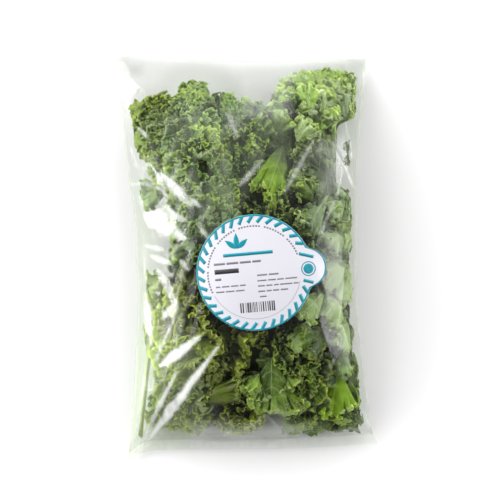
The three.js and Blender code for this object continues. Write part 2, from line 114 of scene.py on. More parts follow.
# big lobes laid one by one: leaf, foot, tip, width, how far the tip is under the front film, upper face showing,
# lightness, warmth, ruffle
LOBES = [
    ("leaf_broad_01", (60.3, 153.0), (54.5, 174.0), 16.0, 2.6, 1, 0.1, 0.5, 1.6),
    ("leaf_broad_01", (67.5, 155.0), (68.0, 180.0), 16.0, 1.8, 1, 0.0, 0.4, 1.6),
    ("leaf_broad_01", (76.0, 157.0), (79.0, 178.0), 15.0, 2.6, 1, 0.25, 0.6, 1.6),
    ("leaf_broad_01", (78.7, 146.0), (87.5, 163.0), 16.0, 1.8, 1, -0.3, 0.5, 1.5),
    ("leaf_broad_01", (56.6, 130.6), (57.5, 158.8), 21.0, 1.6, 1, 0.25, 0.45, 1.4),
    ("leaf_broad_01", (70.4, 127.9), (74.0, 152.5), 19.0, 1.2, 0, -0.35, 0.5, 1.3),
    ("leaf_broad_01", (64.8, 113.8), (82.2, 135.0), 15.6, 0.8, 1, 0.1, 0.7, 1.0),
    ("leaf_broad_01", (53.0, 149.0), (48.5, 167.0), 16.0, 3.4, 1, -0.25, 0.4, 1.4),
    ("leaf_broad_01", (45.5, 105.8), (56.6, 122.4), 22.1, 1.0, 0, 0.05, 0.6, 1.1),
    ("leaf_broad_01", (49.2, 142.6), (40.0, 153.6), 18.4, 3.0, 1, -0.2, 0.4, 1.2),
    ("leaf_broad_01", (65.8, 81.9), (69.5, 108.6), 20.2, 5.0, 1, -0.65, 0.35, 0.9),
    ("leaf_broad_01", (54.7, 80.0), (48.3, 100.3), 18.4, 6.0, 1, -0.85, 0.1, 1.2),
    ("leaf_broad_01", (65.8, 49.7), (52.9, 69.0), 20.2, 3.0, 1, -0.2, 0.8, 1.3),
    ("leaf_broad_01", (63.9, 41.4), (46.5, 32.2), 23.9, 2.5, 1, -0.1, 0.7, 1.4),
    ("leaf_broad_01", (75.0, 59.8), (52.0, 25.8), 18.4, 0.9, 0, -0.3, 0.2, 0.8),
    ("leaf_broad_01", (64.9, 17.5), (81.4, 49.7), 12.0, 1.6, 1, -0.5, 0.35, 0.5),
    ("leaf_broad_01", (76.8, -2.8), (54.7, 8.3), 18.4, 5.0, 1, -0.6, 0.3, 1.1),
    ("leaf_broad_01", (80.5, -37.7), (97.1, -21.2), 31.3, 0.7, 0, 0.05, 0.45, 0.8),
    ("leaf_broad_01", (71.3, -28.5), (51.1, -48.8), 23.9, 0.9, 0, 0, 0.6, 1.0),
    ("leaf_broad_06", (76.8, -63.5), (53.8, -80.0), 25.8, 4.0, 1, -0.35, 0.6, 1.2),
    ("leaf_broad_06", (62.1, -54.3), (39.1, -77.3), 17.5, 0.8, 0, -0.05, 0.55, 0.9),
    ("leaf_broad_04", (89.7, 127.7), (88.0, 152.3), 19.0, 1.3, 0, -0.45, 0.15, 1.2),
    ("leaf_broad_04", (92.6, 138.8), (103.6, 154.2), 15.5, 1.8, 1, 0.2, 0.4, 1.5),
    ("leaf_broad_04", (91.5, 137.1), (105.3, 138.9), 15.6, 2.2, 1, -0.1, 0.5, 1.2),
    ("leaf_broad_04", (88.0, 150.0), (88.0, 176.0), 17.0, 2.6, 1, -0.1, 0.5, 1.6),
    ("leaf_broad_04", (92.0, 130.0), (104.0, 124.0), 15.0, 1.8, 1, 0.05, 0.5, 1.5),
    ("leaf_broad_04", (93.0, 146.0), (99.0, 166.0), 15.0, 2.0, 1, -0.2, 0.4, 1.5),
    ("leaf_broad_04", (90.0, 56.0), (72.0, 40.0), 26.0, 0.8, 0, -0.6, 0.4, 0.9),
    ("leaf_broad_04", (91.0, 26.0), (71.0, 12.0), 30.0, 0.7, 0, -0.5, 0.45, 0.9),
    ("leaf_broad_04", (91.0, -2.0), (69.0, -18.0), 30.0, 0.7, 0, -0.45, 0.45, 0.9),
    ("leaf_broad_04", (82.3, 46.9), (88.8, 72.7), 22.1, 1.0, 0, -0.2, 0.3, 1.0),
    ("leaf_broad_04", (84.2, 17.5), (93.4, 52.4), 22.1, 0.6, 0, -0.05, 0.3, 0.9),
    ("leaf_broad_04", (83.3, -13.8), (91.5, 23.0), 23.9, 0.8, 0, 0.1, 0.4, 0.9),
    ("leaf_broad_04", (84.2, 81.9), (88.8, 104.0), 16.6, 2.5, 0, -0.3, 0.2, 1.0),
    ("leaf_broad_04", (80.5, 91.1), (75.0, 107.6), 14.7, 5.0, 1, -0.4, 0.6, 1.0),
    ("leaf_broad_05", (45.5, 148.1), (36.3, 166.5), 15.6, 3.0, 1, 0, 0.5, 1.3),
    ("leaf_broad_05", (41.9, 138.9), (27.1, 152.7), 14.7, 4.0, 1, -0.15, 0.4, 1.3),
    ("leaf_broad_05", (38.2, 127.9), (19.8, 138.9), 16.6, 5.0, 1, -0.25, 0.35, 1.3),
    ("leaf_broad_05", (21.6, 107.6), (39.1, 131.6), 27.6, 2.0, 0, 0, 0.4, 0.9),
    ("leaf_broad_05", (34.0, 106.0), (21.0, 62.0), 30.0, 2.0, 1, -0.15, 0.7, 1.2),
    ("leaf_broad_05", (36.3, 54.3), (23.5, 61.6), 18.4, 3.5, 1, 0.05, 0.9, 1.5),
    ("leaf_broad_06", (88.0, -30.0), (70.0, -50.0), 28.0, 0.8, 0, 0.05, 0.5, 0.9),
    ("leaf_broad_06", (91.5, -50.6), (77.7, -64.4), 22.1, 1.0, 0, 0, 0.5, 0.9),
    ("leaf_broad_06", (91.5, -54.3), (84.2, -78.2), 22.1, 1.2, 0, -0.05, 0.5, 0.9),
    ("leaf_broad_06", (86.0, -78.2), (88.8, -105.8), 15.6, 1.4, 0, -0.15, 0.35, 0.7),
    ("leaf_broad_06", (95.2, -83.7), (105.3, -104.0), 20.2, 1.6, 0, -0.1, 0.3, 0.9),
    ("leaf_broad_06", (73.1, -85.6), (50.1, -100.3), 25.8, 5.0, 1, -0.35, 0.65, 1.3),
    ("leaf_broad_06", (108.1, -162.8), (79.6, -161.0), 23.9, 1.0, 0, -0.25, 0.6, 1.0),
    ("leaf_broad_06", (97.1, -137.1), (108.1, -155.5), 20.2, 1.4, 0, -0.25, 0.4, 1.0),
    ("leaf_broad_03", (84.0, -99.0), (75.0, -145.0), 44.0, 1.0, 1, 1.1, 1.0, 0.6),
    ("leaf_broad_03", (94.3, -111.3), (99.0, -136.0), 20.0, 2.4, 1, 0.3, 0.8, 1.1),
    ("leaf_broad_03", (86.0, -137.1), (95.2, -151.8), 18.4, 4.0, 1, -0.6, 0.5, 1.1),
    ("leaf_curly_04", (44.0, -140.0), (60.0, -163.0), 24.0, 2.2, 1, -0.5, 0.6, 1.3),
    ("leaf_curly_04", (36.3, -138.9), (41.9, -162.8), 16.6, 2.2, 0, -0.2, 0.55, 1.1),
    ("leaf_broad_02", (23.0, -86.0), (22.0, -137.0), 40.0, 1.8, 1, -0.1, 0.45, 0.9),
    ("leaf_broad_02", (12.0, -103.0), (2.0, -118.0), 15.0, 2.6, 1, 0, 0.85, 1.8),
    ("leaf_broad_02", (13.0, -112.0), (7.0, -130.0), 18.0, 2.4, 1, 0.15, 0.8, 1.6),
    ("leaf_broad_02", (34.0, -118.0), (44.0, -138.0), 22.0, 1.6, 1, 0.15, 0.7, 1.2),
    ("leaf_broad_02", (33.0, -101.0), (47.0, -110.0), 18.0, 4.0, 1, -0.3, 0.7, 1.0),
    ("leaf_curly_02", (-18.0, 124.0), (-24.0, 148.0), 20.0, 3.6, 1, -0.6, 0.2, 1.6),
    ("leaf_curly_02", (0.0, 118.0), (7.0, 145.0), 24.0, 3.6, 1, -0.3, 0.3, 1.5),
    ("leaf_curly_02", (8.0, 104.0), (20.0, 126.0), 20.0, 4.0, 0, -0.3, 0.3, 1.4),
    ("leaf_stalk_01", (-76.0, -30.0), (-92.0, -16.0), 22.0, 1.6, 0, 0.6, 0.4, 1.0),
    ("leaf_stalk_01", (-80.0, -48.0), (-95.0, -38.0), 24.0, 1.2, 0, 0.7, 0.4, 1.0),
    ("leaf_stalk_01", (-86.0, -70.0), (-97.0, -62.0), 20.0, 1.2, 0, 0.7, 0.5, 1.0),
    ("leaf_curly_05", (-70.0, 64.0), (-97.0, 58.0), 27.0, 1.4, 0, 0.15, 0.3, 1.0),
    ("leaf_curly_05", (-62.0, 80.0), (-84.0, 82.0), 20.0, 2.2, 1, 0.0, 0.4, 1.5),
    ("leaf_curly_06", (-50.0, 50.0), (-72.0, 40.0), 22.0, 2.6, 1, 0.1, 0.5, 1.6),
    ("leaf_curly_01", (-44.0, 30.0), (-66.0, 20.0), 22.0, 2.6, 1, 0.1, 0.6, 1.6),
    ("leaf_curly_01", (-44.0, 12.0), (-64.0, 2.0), 20.0, 3.0, 1, 0.1, 0.6, 1.6),
    ("leaf_curly_03", (-44.0, -26.0), (-58.0, -40.0), 20.0, 3.2, 1, 0.3, 0.5, 1.6),
    ("leaf_curly_03", (-47.0, -44.0), (-63.0, -58.0), 20.0, 3.2, 1, 0.2, 0.6, 1.6),
    ("leaf_curly_03", (-44.0, -8.0), (-57.0, -20.0), 18.0, 3.2, 1, 0.1, 0.4, 1.6),
    ("leaf_curly_03", (-48.0, -90.0), (-67.0, -104.0), 24.0, 2.6, 1, 0.5, 0.7, 1.7),
    ("leaf_curly_03", (-42.0, -110.0), (-66.0, -120.0), 24.0, 2.6, 1, 0.5, 0.75, 1.7),
    ("leaf_curly_03", (-40.0, -128.0), (-52.0, -151.0), 24.0, 2.6, 1, 0.35, 0.7, 1.7),
    ("leaf_curly_03", (-54.0, -131.0), (-10.0, -114.0), 26.0, 2.6, 1, 0, 0.5, 1.5),
    ("leaf_curly_03", (-54.0, -72.0), (-24.0, -92.0), 26.0, 3.0, 1, 0.3, 0.7, 1.4),
    ("leaf_curly_03", (-40.0, -96.0), (-22.0, -104.0), 22.0, 3.0, 1, -0.2, 0.5, 1.5),
    ("leaf_curly_07", (-12.0, -64.0), (3.0, -78.0), 16.0, 7.0, 1, 0.5, 0.9, 1.8),
    ("leaf_curly_07", (18.0, -62.0), (8.0, -76.0), 16.0, 8.0, 1, 0.4, 0.9, 1.8),
    ("leaf_curly_07", (-14.0, -84.0), (-6.0, -98.0), 16.0, 8.0, 1, 0.2, 0.8, 1.8),
    ("leaf_curly_07", (-6.0, -128.0), (-24.0, -152.0), 26.0, 3.0, 1, -0.2, 0.5, 1.5),
    ("leaf_curly_03", (-66.0, -128.0), (-84.0, -152.0), 24.0, 2.0, 1, 0.35, 0.6, 1.5),
]


# ---------------------------------------------------------------- small numeric helpers
class Track:
    """Smooth lookup in (key, value) rows with no overshoot."""

    def __init__(self, rows):
        self.k = np.array([r[0] for r in rows], float)
        self.v = np.array([r[1] for r in rows], float)
        d = np.diff(self.v) / np.diff(self.k)
        self.m = np.zeros(len(self.k))
        self.m[0], self.m[-1] = d[0], d[-1]
        a, b = d[:-1], d[1:]
        same = a * b > 0
        self.m[1:-1][same] = 2 * a[same] * b[same] / (a[same] + b[same])

    def __call__(self, x):
        x = np.clip(x, self.k[0], self.k[-1])
        i = np.clip(np.searchsorted(self.k, x, side="right") - 1, 0, len(self.k) - 2)
        h = self.k[i + 1] - self.k[i]
        t = (x - self.k[i]) / h
        t2, t3 = t * t, t * t * t
        return (2 * t3 - 3 * t2 + 1) * self.v[i] + (t3 - 2 * t2 + t) * self.m[i] * h + (3 * t2 - 2 * t3) * self.v[i + 1] + (t3 - t2) * self.m[i + 1] * h


def smooth(a, b, x):
    t = np.clip((x - a) / (b - a), 0, 1)
    return t * t * (3 - 2 * t)


class Noise:
    """Smooth value noise, about -1 to 1, from a seeded lattice."""

    def __init__(self, seed, n=64):
        self.n = n
        self.g = np.random.RandomState(seed).uniform(-1, 1, (n, n))

    def __call__(self, x, y=0.0):
        x, y = np.broadcast_arrays(np.asarray(x, float), np.asarray(y, float))
        xi, yi = np.floor(x).astype(int), np.floor(y).astype(int)
        fx, fy = x - xi, y - yi
        fx, fy = fx * fx * fx * (fx * (fx * 6 - 15) + 10), fy * fy * fy * (fy * (fy * 6 - 15) + 10)
        n, g = self.n, self.g
        a, b = g[xi % n, yi % n], g[(xi + 1) % n, yi % n]
        c, d = g[xi % n, (yi + 1) % n], g[(xi + 1) % n, (yi + 1) % n]
        return (a * (1 - fx) + b * fx) * (1 - fy) + (c * (1 - fx) + d * fx) * fy


t_bottom, t_top, t_crest, t_fold = Track(BOTTOM), Track(TOP), Track(CREST), Track(FOLD)
t_left = Track([((y - BOTTOM[0][1]) / (TOP[0][1] - BOTTOM[0][1]), x) for x, y in LEFT])
t_right = Track([((y - BOTTOM[-1][1]) / (TOP[-1][1] - BOTTOM[-1][1]), x) for x, y in RIGHT])


def plan(r, s):
    yb, yt, xl, xr = t_bottom(s), t_top(s), t_left(r), t_right(r)
    return xl + (xr - xl) * (s + 1) / 2, yb + (yt - yb) * r


def unplan(x, y):
    r, s = np.full(np.shape(x), 0.5), np.zeros(np.shape(x))
    for _ in range(8):
        yb, yt = t_bottom(s), t_top(s)
        r = (y - yb) / (yt - yb)
        xl, xr = t_left(r), t_right(r)
        s = np.clip(2 * (x - xl) / (xr - xl) - 1, -1.4, 1.4)
    return r, s


def bottom_z(r, s):
    side = smooth(0.62, 1, np.abs(s))
    end = np.maximum(1 - smooth(0, 0.11, r), smooth(0.88, 1, r))
    return t_fold(r) * (1 - (1 - side) * (1 - end))


def top_z(r, s):
    fold = t_fold(r)
    slack = np.where(s < 0, smooth(0.1, 0.4, r) * (1 - smooth(0.68, 0.85, r)), 0)
    p, q = 2.8 - 0.8 * slack, 0.7 + 0.2 * slack
    dome = np.power(np.maximum(0, 1 - np.power(np.minimum(np.abs(s), 1), p)), q)
    return np.maximum(fold + (t_crest(r) - fold) * dome, bottom_z(r, s) + 0.5)


# ---------------------------------------------------------------- wrinkles of the front film
# soft creases: from, to (mm), half width, height; a negative height is a valley
CREASES = [
    ((-86, -30), (-82, -82), 3.5, 1.2),
    ((-10, 128), (-4, 106), 2.5, 0.8),
    ((14, -137), (-16, -166), 3.0, 1.5),
    ((14, -137), (42, -167), 3.0, 1.5),
    ((14, -128), (14, -150), 5.0, -1.5),
    ((-60, -162), (-6, -168), 2.5, 1.2),
    ((-92, 130), (-60, 80), 4.0, 1.0),
    ((-112, 170), (-70, 140), 4.0, 1.0),
    ((96, 20), (84, -60), 4.0, 1.0),
    ((104, -120), (80, -150), 4.0, 1.2),
    ((98, 120), (84, 60), 4.0, 1.0),
    ((30, 172), (46, 140), 4.0, 0.8),
    ((-60, 176), (-30, 150), 4.0, 0.8),
    ((-104, 120), (-98, 60), 3.0, 1.2),
    ((-99, 30), (-92, -40), 3.0, 1.4),
]
# flat facets where the film is drawn tight between two folds: from, to (mm), width, where it is widest, slope,
# whitening (partly a painted highlight of the strip light's reflection)
FACETS = [
    ((-79.6, 79.1), (-49.2, 47.8), 8.3, 0.55, 0.637, 0.2),
    ((-87.9, 87.4), (-74.1, 63.5), 2.8, 0.6, 0.637, 0.18),
    ((-83.3, 46.0), (-54.7, 35.0), 8.3, 0.35, 0.637, 0.22),
    ((-93.4, 42.3), (-53.8, 18.4), 18.4, 0.22, 0.637, 0.16),
    ((-52.0, 56.1), (-40.0, 46.0), 4.1, 0.5, 0.637, 0.18),
    ((-42.8, 29.4), (-34.5, 18.4), 3.2, 0.5, 0.637, 0.18),
    ((-92.5, 12.0), (-74.1, 8.3), 3.7, 0.4, 0.637, 0.18),
    ((-88.8, 2.8), (-68.5, -2.8), 3.7, 0.4, 0.637, 0.18),
    ((-61.2, 0.0), (-52.0, -10.1), 4.1, 0.4, 0.637, 0.18),
    ((-82.3, -8.3), (-62.1, -45.1), 5.1, 0.5, 0.637, 0.18),
    ((-92.5, -30.4), (-86.9, -79.1), 8.3, 0.5, 0.637, 0.18),
    ((-77.7, -54.3), (-63.0, -41.4), 5.5, 0.5, 0.637, 0.18),
    ((-79.6, -98.4), (-40.9, -69.0), 10.5, 0.38, 0.637, 0.26),
    ((-98.9, -174.8), (-63.0, -100.3), 3.4, 0.5, 0.637, 0.26),
    ((-96.1, -174.8), (-25.3, -78.2), 8.3, 0.42, 0.637, 0.34),
    ((-18.9, 133.4), (-6.9, 110.4), 5.1, 0.5, 0.637, 0.1),
    ((-7.8, 65.3), (15.2, 90.2), 5.5, 0.5, 0.637, 0.1),
    ((33.6, 58.9), (62.1, 110.4), 5.1, 0.5, 0.637, 0.1),
    ((77.7, 109.5), (92.5, 79.1), 1.7, 0.5, 0.637, 0.14),
    ((-46.5, 91.1), (-29.9, 100.3), 2.8, 0.5, 0.637, 0.08),
    ((-88.8, 109.5), (-99.8, 120.5), 2.8, 0.5, 0.637, 0.18),
    ((89.7, 127.9), (97.1, 91.1), 2.0, 0.5, 0.637, 0.12),
    ((-99.0, 84.0), (-97.0, 156.0), 22.0, 0.5, 1.0, 0.0),
    ((-86.0, 100.0), (-76.0, 150.0), 14.0, 0.5, 0.32, 0.0),
]
# sharp folds in the film: points (mm), half width, whitening (partly a painted highlight), height
FOLDS = [
    ([(-47.4, -153.4), (-41.9, -154.9), (-33.1, -163.3), (-23.6, -163.7), (-14.1, -156.5), (-7.7, -157.3)], 1.1, 0.34, 0.5),
    ([(17.7, -141.5), (27.1, -152.5), (40.7, -164.5), (51.0, -163.7), (63.7, -166.1)], 1.1, 0.30, 0.5),
    ([(17.7, -141.5), (8.1, -150.2), (-7.7, -158.9)], 1.1, 0.26, 0.5),
    ([(78.0, 108.0), (82.0, 95.3), (91.4, 81.0), (98.6, 63.7)], 1.1, 0.32, 0.4),
    ([(80.4, 100.1), (86.8, 84.3), (85.1, 65.2), (69.3, 28.8), (62.9, 11.3)], 1.1, 0.22, 0.4),
    ([(-106.5, 68.4), (-93.9, 69.2), (-78.0, 63.7), (-70.1, 54.9)], 1.1, 0.30, 0.5),
    ([(-105.0, 119.1), (-82.8, 122.3), (-54.3, 128.6), (-24.2, 125.4)], 1.0, 0.12, 0.2),
    ([(72.5, -164.7), (96.2, -155.2), (112.0, -161.5)], 1.1, 0.25, 0.4),
    ([(-81.2, -8.6), (-73.3, -17.4), (-63.8, -41.1), (-68.5, -61.7), (-86.0, -96.6)], 1.5, 0.42, 0.5),
    ([(92.0, -60.0), (80.0, -92.0), (70.0, -104.0)], 1.0, 0.12, 0.3),
    ([(-92.0, -96.0), (-98.0, -140.0), (-103.0, -172.0)], 1.2, 0.20, 0.3),
]
n_a, n_b, n_c, n_d = Noise(11), Noise(12), Noise(13), Noise(14)


def fold_lines(x, y):
    dz, white = np.zeros(x.shape), np.zeros(x.shape)
    for pts, w, pale, h in FOLDS:
        p = np.array(pts, float)
        k = np.concatenate([[0], np.cumsum(np.linalg.norm(np.diff(p, axis=0), axis=1))])
        t = np.linspace(0, 1, 60)
        c = np.stack([np.interp(t, k / k[-1], p[:, i]) for i in (0, 1)], -1)
        c = np.stack([np.convolve(np.pad(c[:, i], 4, mode="edge"), np.ones(9) / 9, mode="valid") for i in (0, 1)], -1)
        near = (x > c[:, 0].min() - 6) & (x < c[:, 0].max() + 6) & (y > c[:, 1].min() - 6) & (y < c[:, 1].max() + 6)
        d2 = (x[near][:, None] - c[None, :, 0]) ** 2 + (y[near][:, None] - c[None, :, 1]) ** 2
        j = np.argmin(d2, axis=1)
        g = np.exp(-d2[np.arange(len(j)), j] / w ** 2) * np.sqrt(np.clip(np.sin(np.pi * np.clip(t[j], 0.02, 0.98)) * 1.4, 0, 1))
        g = g * (0.75 + 0.5 * n_c(x[near] / 5, y[near] / 5))
        # painted highlight in part: each fold is whitened along its line
        white[near] = np.maximum(white[near], pale * g)
        dz[near] = dz[near] + h * g
    return dz, white


def wrinkle(x, y, r, s):
    z = np.zeros(np.shape(x))
    for (x0, y0), (x1, y1), w, h in CREASES:
        dx, dy = x1 - x0, y1 - y0
        ln = math.hypot(dx, dy)
        a = ((x - x0) * dx + (y - y0) * dy) / ln
        b = ((y - y0) * dx - (x - x0) * dy) / ln + 1.4 * n_a(x / 16, y / 16)
        taper = smooth(-0.12 * ln, 0.25 * ln, a) * (1 - smooth(0.75 * ln, 1.12 * ln, a))
        z += h * taper * np.exp(-np.abs(b / w) ** 1.25)
    # long soft folds and short crisp ones, stronger towards the folds and the ends
    u, v = (x * 0.94 + y * 0.34), (y * 0.94 - x * 0.34)
    long_fold = 1 - 2 * np.abs(n_b(u / 17 + 3, v / 46 + 1))
    cross = 1 - 2 * np.abs(n_c((x * 0.8 - y * 0.6) / 15, (y * 0.8 + x * 0.6) / 40))
    fine = 1 - 2 * np.abs(n_d(u / 6.0, v / 17))
    edge = smooth(0.35, 0.95, np.abs(s)) + smooth(0.3, 0.06, r) * 0.6
    z += (0.35 + 0.5 * edge) * long_fold + (0.25 + 0.45 * edge) * cross + (0.05 + 0.07 * edge) * fine
    fade = smooth(0, 0.07, 1 - np.abs(s)) * smooth(0.0, 0.05, r) * smooth(0, 0.04, 1 - r)
    return z * (0.15 + 0.85 * fade)


def facets(x, y, z0):
    """Offsets that turn the film to one tilt along each facet, and how much each point is held smooth by one."""
    dz, hold, white = np.zeros(x.shape), np.zeros(x.shape), np.zeros(x.shape)
    for (x0, y0), (x1, y1), w, wide, slope, pale in FACETS:
        dx, dy = x1 - x0, y1 - y0
        ln = math.hypot(dx, dy)
        dx, dy = dx / ln, dy / ln
        nx, ny = (dy, -dx) if dy > 0 or (dy == 0 and dx > 0) else (-dy, dx)
        # the base height along the facet's axis, and its slope
        t = np.linspace(-0.1, 1.1, 61)
        zc = sample_raw(z0, x0 + dx * ln * t, y0 + dy * ln * t)
        zc = np.convolve(np.pad(zc, 6, mode="edge"), np.ones(13) / 13, mode="valid")
        gd = np.gradient(zc, t * ln)
        gd = np.convolve(np.pad(gd, 6, mode="edge"), np.ones(13) / 13, mode="valid")
        gn = np.sqrt(np.clip(slope ** 2 - gd ** 2, 0.06, 1.2))
        a = ((x - x0) * dx + (y - y0) * dy) / ln
        b = (x - x0) * nx + (y - y0) * ny
        u = np.clip(a, 0, 1)
        shape = np.where(u < wide, u / wide, (1 - u) / (1 - wide))
        half = 0.5 * w * np.power(np.clip(shape, 0, 1), 0.75) * (1 + 0.35 * n_a(x / 9, y / 9 + 5) + 0.2 * n_c(x / 3.5, y / 3.5))
        near = (a > -0.02) & (a < 1.02) & (np.abs(b) < w)
        core = np.clip(b, -half, half)
        edge_z = sample_raw(z0, x0 + a * ln * dx + nx * core, y0 + a * ln * dy + ny * core)
        off = np.interp(a, t, zc) + np.interp(a, t, gn) * core - edge_z
        over = np.maximum(np.abs(b) - half, 0)
        fall = np.where(b > 0, np.exp(-over / 1.2), np.exp(-over / 2.4))
        d = np.where(near, np.clip(off, -4.5, 4.5) * fall, 0)
        dz = np.where(np.abs(d) > np.abs(dz), d, dz)
        m = np.where(near, np.exp(-(over / 1.6) ** 2) * smooth(0, 0.5, half), 0)
        hold = np.maximum(hold, m)
        # painted highlight in part: each facet is whitened along its flat
        white = np.maximum(white, pale * np.where(near, smooth(0.9, 0.1, over) * smooth(0, 0.3, half), 0))
    return dz, hold, white


def sample_raw(field, x, y):
    fx, fy = np.clip(x - GX[0], 0, len(GX) - 1.001), np.clip(y - GY[0], 0, len(GY) - 1.001)
    i, j = fx.astype(int), fy.astype(int)
    u, v = fx - i, fy - j
    return field[i, j] * (1 - u) * (1 - v) + field[i + 1, j] * u * (1 - v) + field[i, j + 1] * (1 - u) * v + field[i + 1, j + 1] * u * v


def pleats(x, y, z0):
    """Crisp folds along the shoulder of the pile, where the film turns down to the left fold."""
    gx, gy = np.gradient(z0, 1.0)
    where = np.exp(-((gx - 0.5) / 0.3) ** 2) * smooth(-104, -92, x)
    b = x * 0.93 - y * 0.36 + 5.0 * n_b(x / 30 + 3, y / 42) + 1.2 * n_c(x / 8, y / 10)
    ph = b / 13.0
    tri = 4 * np.abs(ph - np.floor(ph + 0.5)) - 1
    b2 = x * 0.80 + y * 0.60 + 4.0 * n_a(x / 26, y / 26 + 9)
    ph2 = b2 / 21.0
    tri2 = 4 * np.abs(ph2 - np.floor(ph2 + 0.5)) - 1
    return where * (0.45 * tri + 0.35 * tri2)


# fields over the plan, 1 mm apart
GX, GY = np.arange(-126, 127, 1.0), np.arange(-194, 195, 1.0)
XX, YY = np.meshgrid(GX, GY, indexing="ij")
F_R, F_S = unplan(XX, YY)
rc, sc = np.clip(F_R, 0, 1), np.clip(F_S, -1, 1)
F_LOW = bottom_z(rc, sc)
F_TOP0 = top_z(rc, sc)
# the wrinkles fade where the sticker holds the film smooth
under_label = smooth(58, 50, np.hypot(XX - LABEL_C[0], YY - LABEL_C[1]))
# the facets and folds also whiten the film, partly as a painted highlight of the strip light's reflection
F_FACET, F_HOLD, F_WHITE_AND_GLINT = facets(XX, YY, F_TOP0)
F_LINE, LINE_WHITE_AND_GLINT = fold_lines(XX, YY)
F_WHITE_AND_GLINT = np.maximum(F_WHITE_AND_GLINT, LINE_WHITE_AND_GLINT)
F_TOP = F_TOP0 + F_LINE * smooth(0.0, 0.03, rc) * (1 - under_label) + (wrinkle(XX, YY, rc, sc) * (1 - 0.9 * under_label) + pleats(XX, YY, F_TOP0) * (1 - under_label)) * (1 - 0.95 * F_HOLD) + F_FACET * smooth(0.0, 0.05, rc) * (1 - under_label)
F_TOP = np.maximum(F_TOP, F_LOW + 0.5)


def sample(field, x, y):
    fx, fy = np.clip((x - GX[0]), 0, len(GX) - 1.001), np.clip((y - GY[0]), 0, len(GY) - 1.001)
    i, j = fx.astype(int), fy.astype(int)
    fx, fy = fx - i, fy - j
    return (field[i, j] * (1 - fx) + field[i + 1, j] * fx) * (1 - fy) + (field[i, j + 1] * (1 - fx) + field[i + 1, j + 1] * fx) * fy


def level_z(level, x, y):
    low, high = sample(F_LOW, x, y) + 0.5, sample(F_TOP0, x, y) - 0.5
    h = high - low
    f = LOW_SHARE + (HIGH_SHARE - LOW_SHARE) * (level + 0.5) / LEVELS
    w = 0.6 * np.sin(x / 21 + 1.1) * np.cos(y / 30) + 0.4 * np.sin(y / 17 - x / 40)
    return low + h * (f + 0.35 * f * (1 - f) * w)


# ---------------------------------------------------------------- meshes
def new_mesh(name, co, quads, smooth_shade=True, tris=None):
    """co in mm."""
    me = bpy.data.meshes.new(name)
    quads = np.asarray(quads, np.int32).reshape(-1, 4)
    tris = np.zeros((0, 3), np.int32) if tris is None else np.asarray(tris, np.int32).reshape(-1, 3)
    me.vertices.add(len(co))
    me.vertices.foreach_set("co", (np.asarray(co, np.float64) * MM).astype(np.float32).ravel())
    loops = np.concatenate([quads.ravel(), tris.ravel()]).astype(np.int32)
    me.loops.add(len(loops))
    me.loops.foreach_set("vertex_index", loops)
    starts = np.concatenate([np.arange(len(quads)) * 4, len(quads) * 4 + np.arange(len(tris)) * 3]).astype(np.int32)
    me.polygons.add(len(starts))
    me.polygons.foreach_set("loop_start", starts)
    me.polygons.foreach_set("use_smooth", np.full(len(starts), smooth_shade))
    me.update(calc_edges=True)
    me.validate(verbose=False)
    ob = bpy.data.objects.new(name, me)
    bpy.context.scene.collection.objects.link(ob)
    return ob


def attribute(ob, name, kind, data):
    a = ob.data.attributes.new(name, kind, "POINT")
    key = "vector" if kind == "FLOAT_VECTOR" else "value"
    a.data.foreach_set(key, np.ascontiguousarray(data, np.float32).ravel())


def spline(points, n):
    """n points, evenly spaced, on a smooth curve through points, with unit tangents."""
    p = np.array(points, float)
    ext = np.vstack([2 * p[0] - p[1], p, 2 * p[-1] - p[-2]])
    out = []
    for i in range(1, len(ext) - 2):
        p0, p1, p2, p3 = ext[i - 1], ext[i], ext[i + 1], ext[i + 2]
        d = [max(np.linalg.norm(b - a), 1e-6) ** 0.5 for a, b in ((p0, p1), (p1, p2), (p2, p3))]
        t0, t1 = 0, d[0]
        t2 = t1 + d[1]
        t3 = t2 + d[2]
        t = np.linspace(t1, t2, 80, endpoint=False)[:, None]
        a1 = (t1 - t) / (t1 - t0) * p0 + (t - t0) / (t1 - t0) * p1
        a2 = (t2 - t) / (t2 - t1) * p1 + (t - t1) / (t2 - t1) * p2
        a3 = (t3 - t) / (t3 - t2) * p2 + (t - t2) / (t3 - t2) * p3
        b1 = (t2 - t) / (t2 - t0) * a1 + (t - t0) / (t2 - t0) * a2
        b2 = (t3 - t) / (t3 - t1) * a2 + (t - t1) / (t3 - t1) * a3
        out.append((t2 - t) / (t2 - t1) * b1 + (t - t1) / (t2 - t1) * b2)
    c = np.vstack(out + [p[-1:]])
    s = np.concatenate([[0], np.cumsum(np.linalg.norm(np.diff(c, axis=0), axis=1))])
    at = np.linspace(0, s[-1], n)
    q = np.stack([np.interp(at, s, c[:, k]) for k in range(c.shape[1])], 1)
    d = np.gradient(q, axis=0)
    d /= np.linalg.norm(d, axis=1)[:, None]
    return q, d, s[-1]


def surface_frame(S):
    """Unit normal and unit direction along the rows of a grid of points."""
    du, dv = np.gradient(S, axis=0), np.gradient(S, axis=1)
    n = np.cross(dv, du)
    n /= np.maximum(np.linalg.norm(n, axis=2), 1e-9)[..., None]
    t = du / np.maximum(np.linalg.norm(du, axis=2), 1e-9)[..., None]
    return n, t


def closed_grid(Ptop, Plow):
    """Two grids of points joined round their border: the co array and the quads."""
    nu, nv = Ptop.shape[:2]
    idx = np.arange(nu * nv).reshape(nu, nv)
    a, b, c, d = idx[:-1, :-1], idx[1:, :-1], idx[1:, 1:], idx[:-1, 1:]
    top = np.stack([a, d, c, b], -1).reshape(-1, 4)
    low = np.stack([a, b, c, d], -1).reshape(-1, 4) + nu * nv
    ring = np.concatenate([idx[0, :], idx[1:, -1], idx[-1, -2::-1], idx[-2:0:-1, 0]])
    nxt = np.roll(ring, -1)
    rim = np.stack([ring, ring + nu * nv, nxt + nu * nv, nxt], -1)
    return np.concatenate([Ptop.reshape(-1, 3), Plow.reshape(-1, 3)]), np.concatenate([top, low, rim])


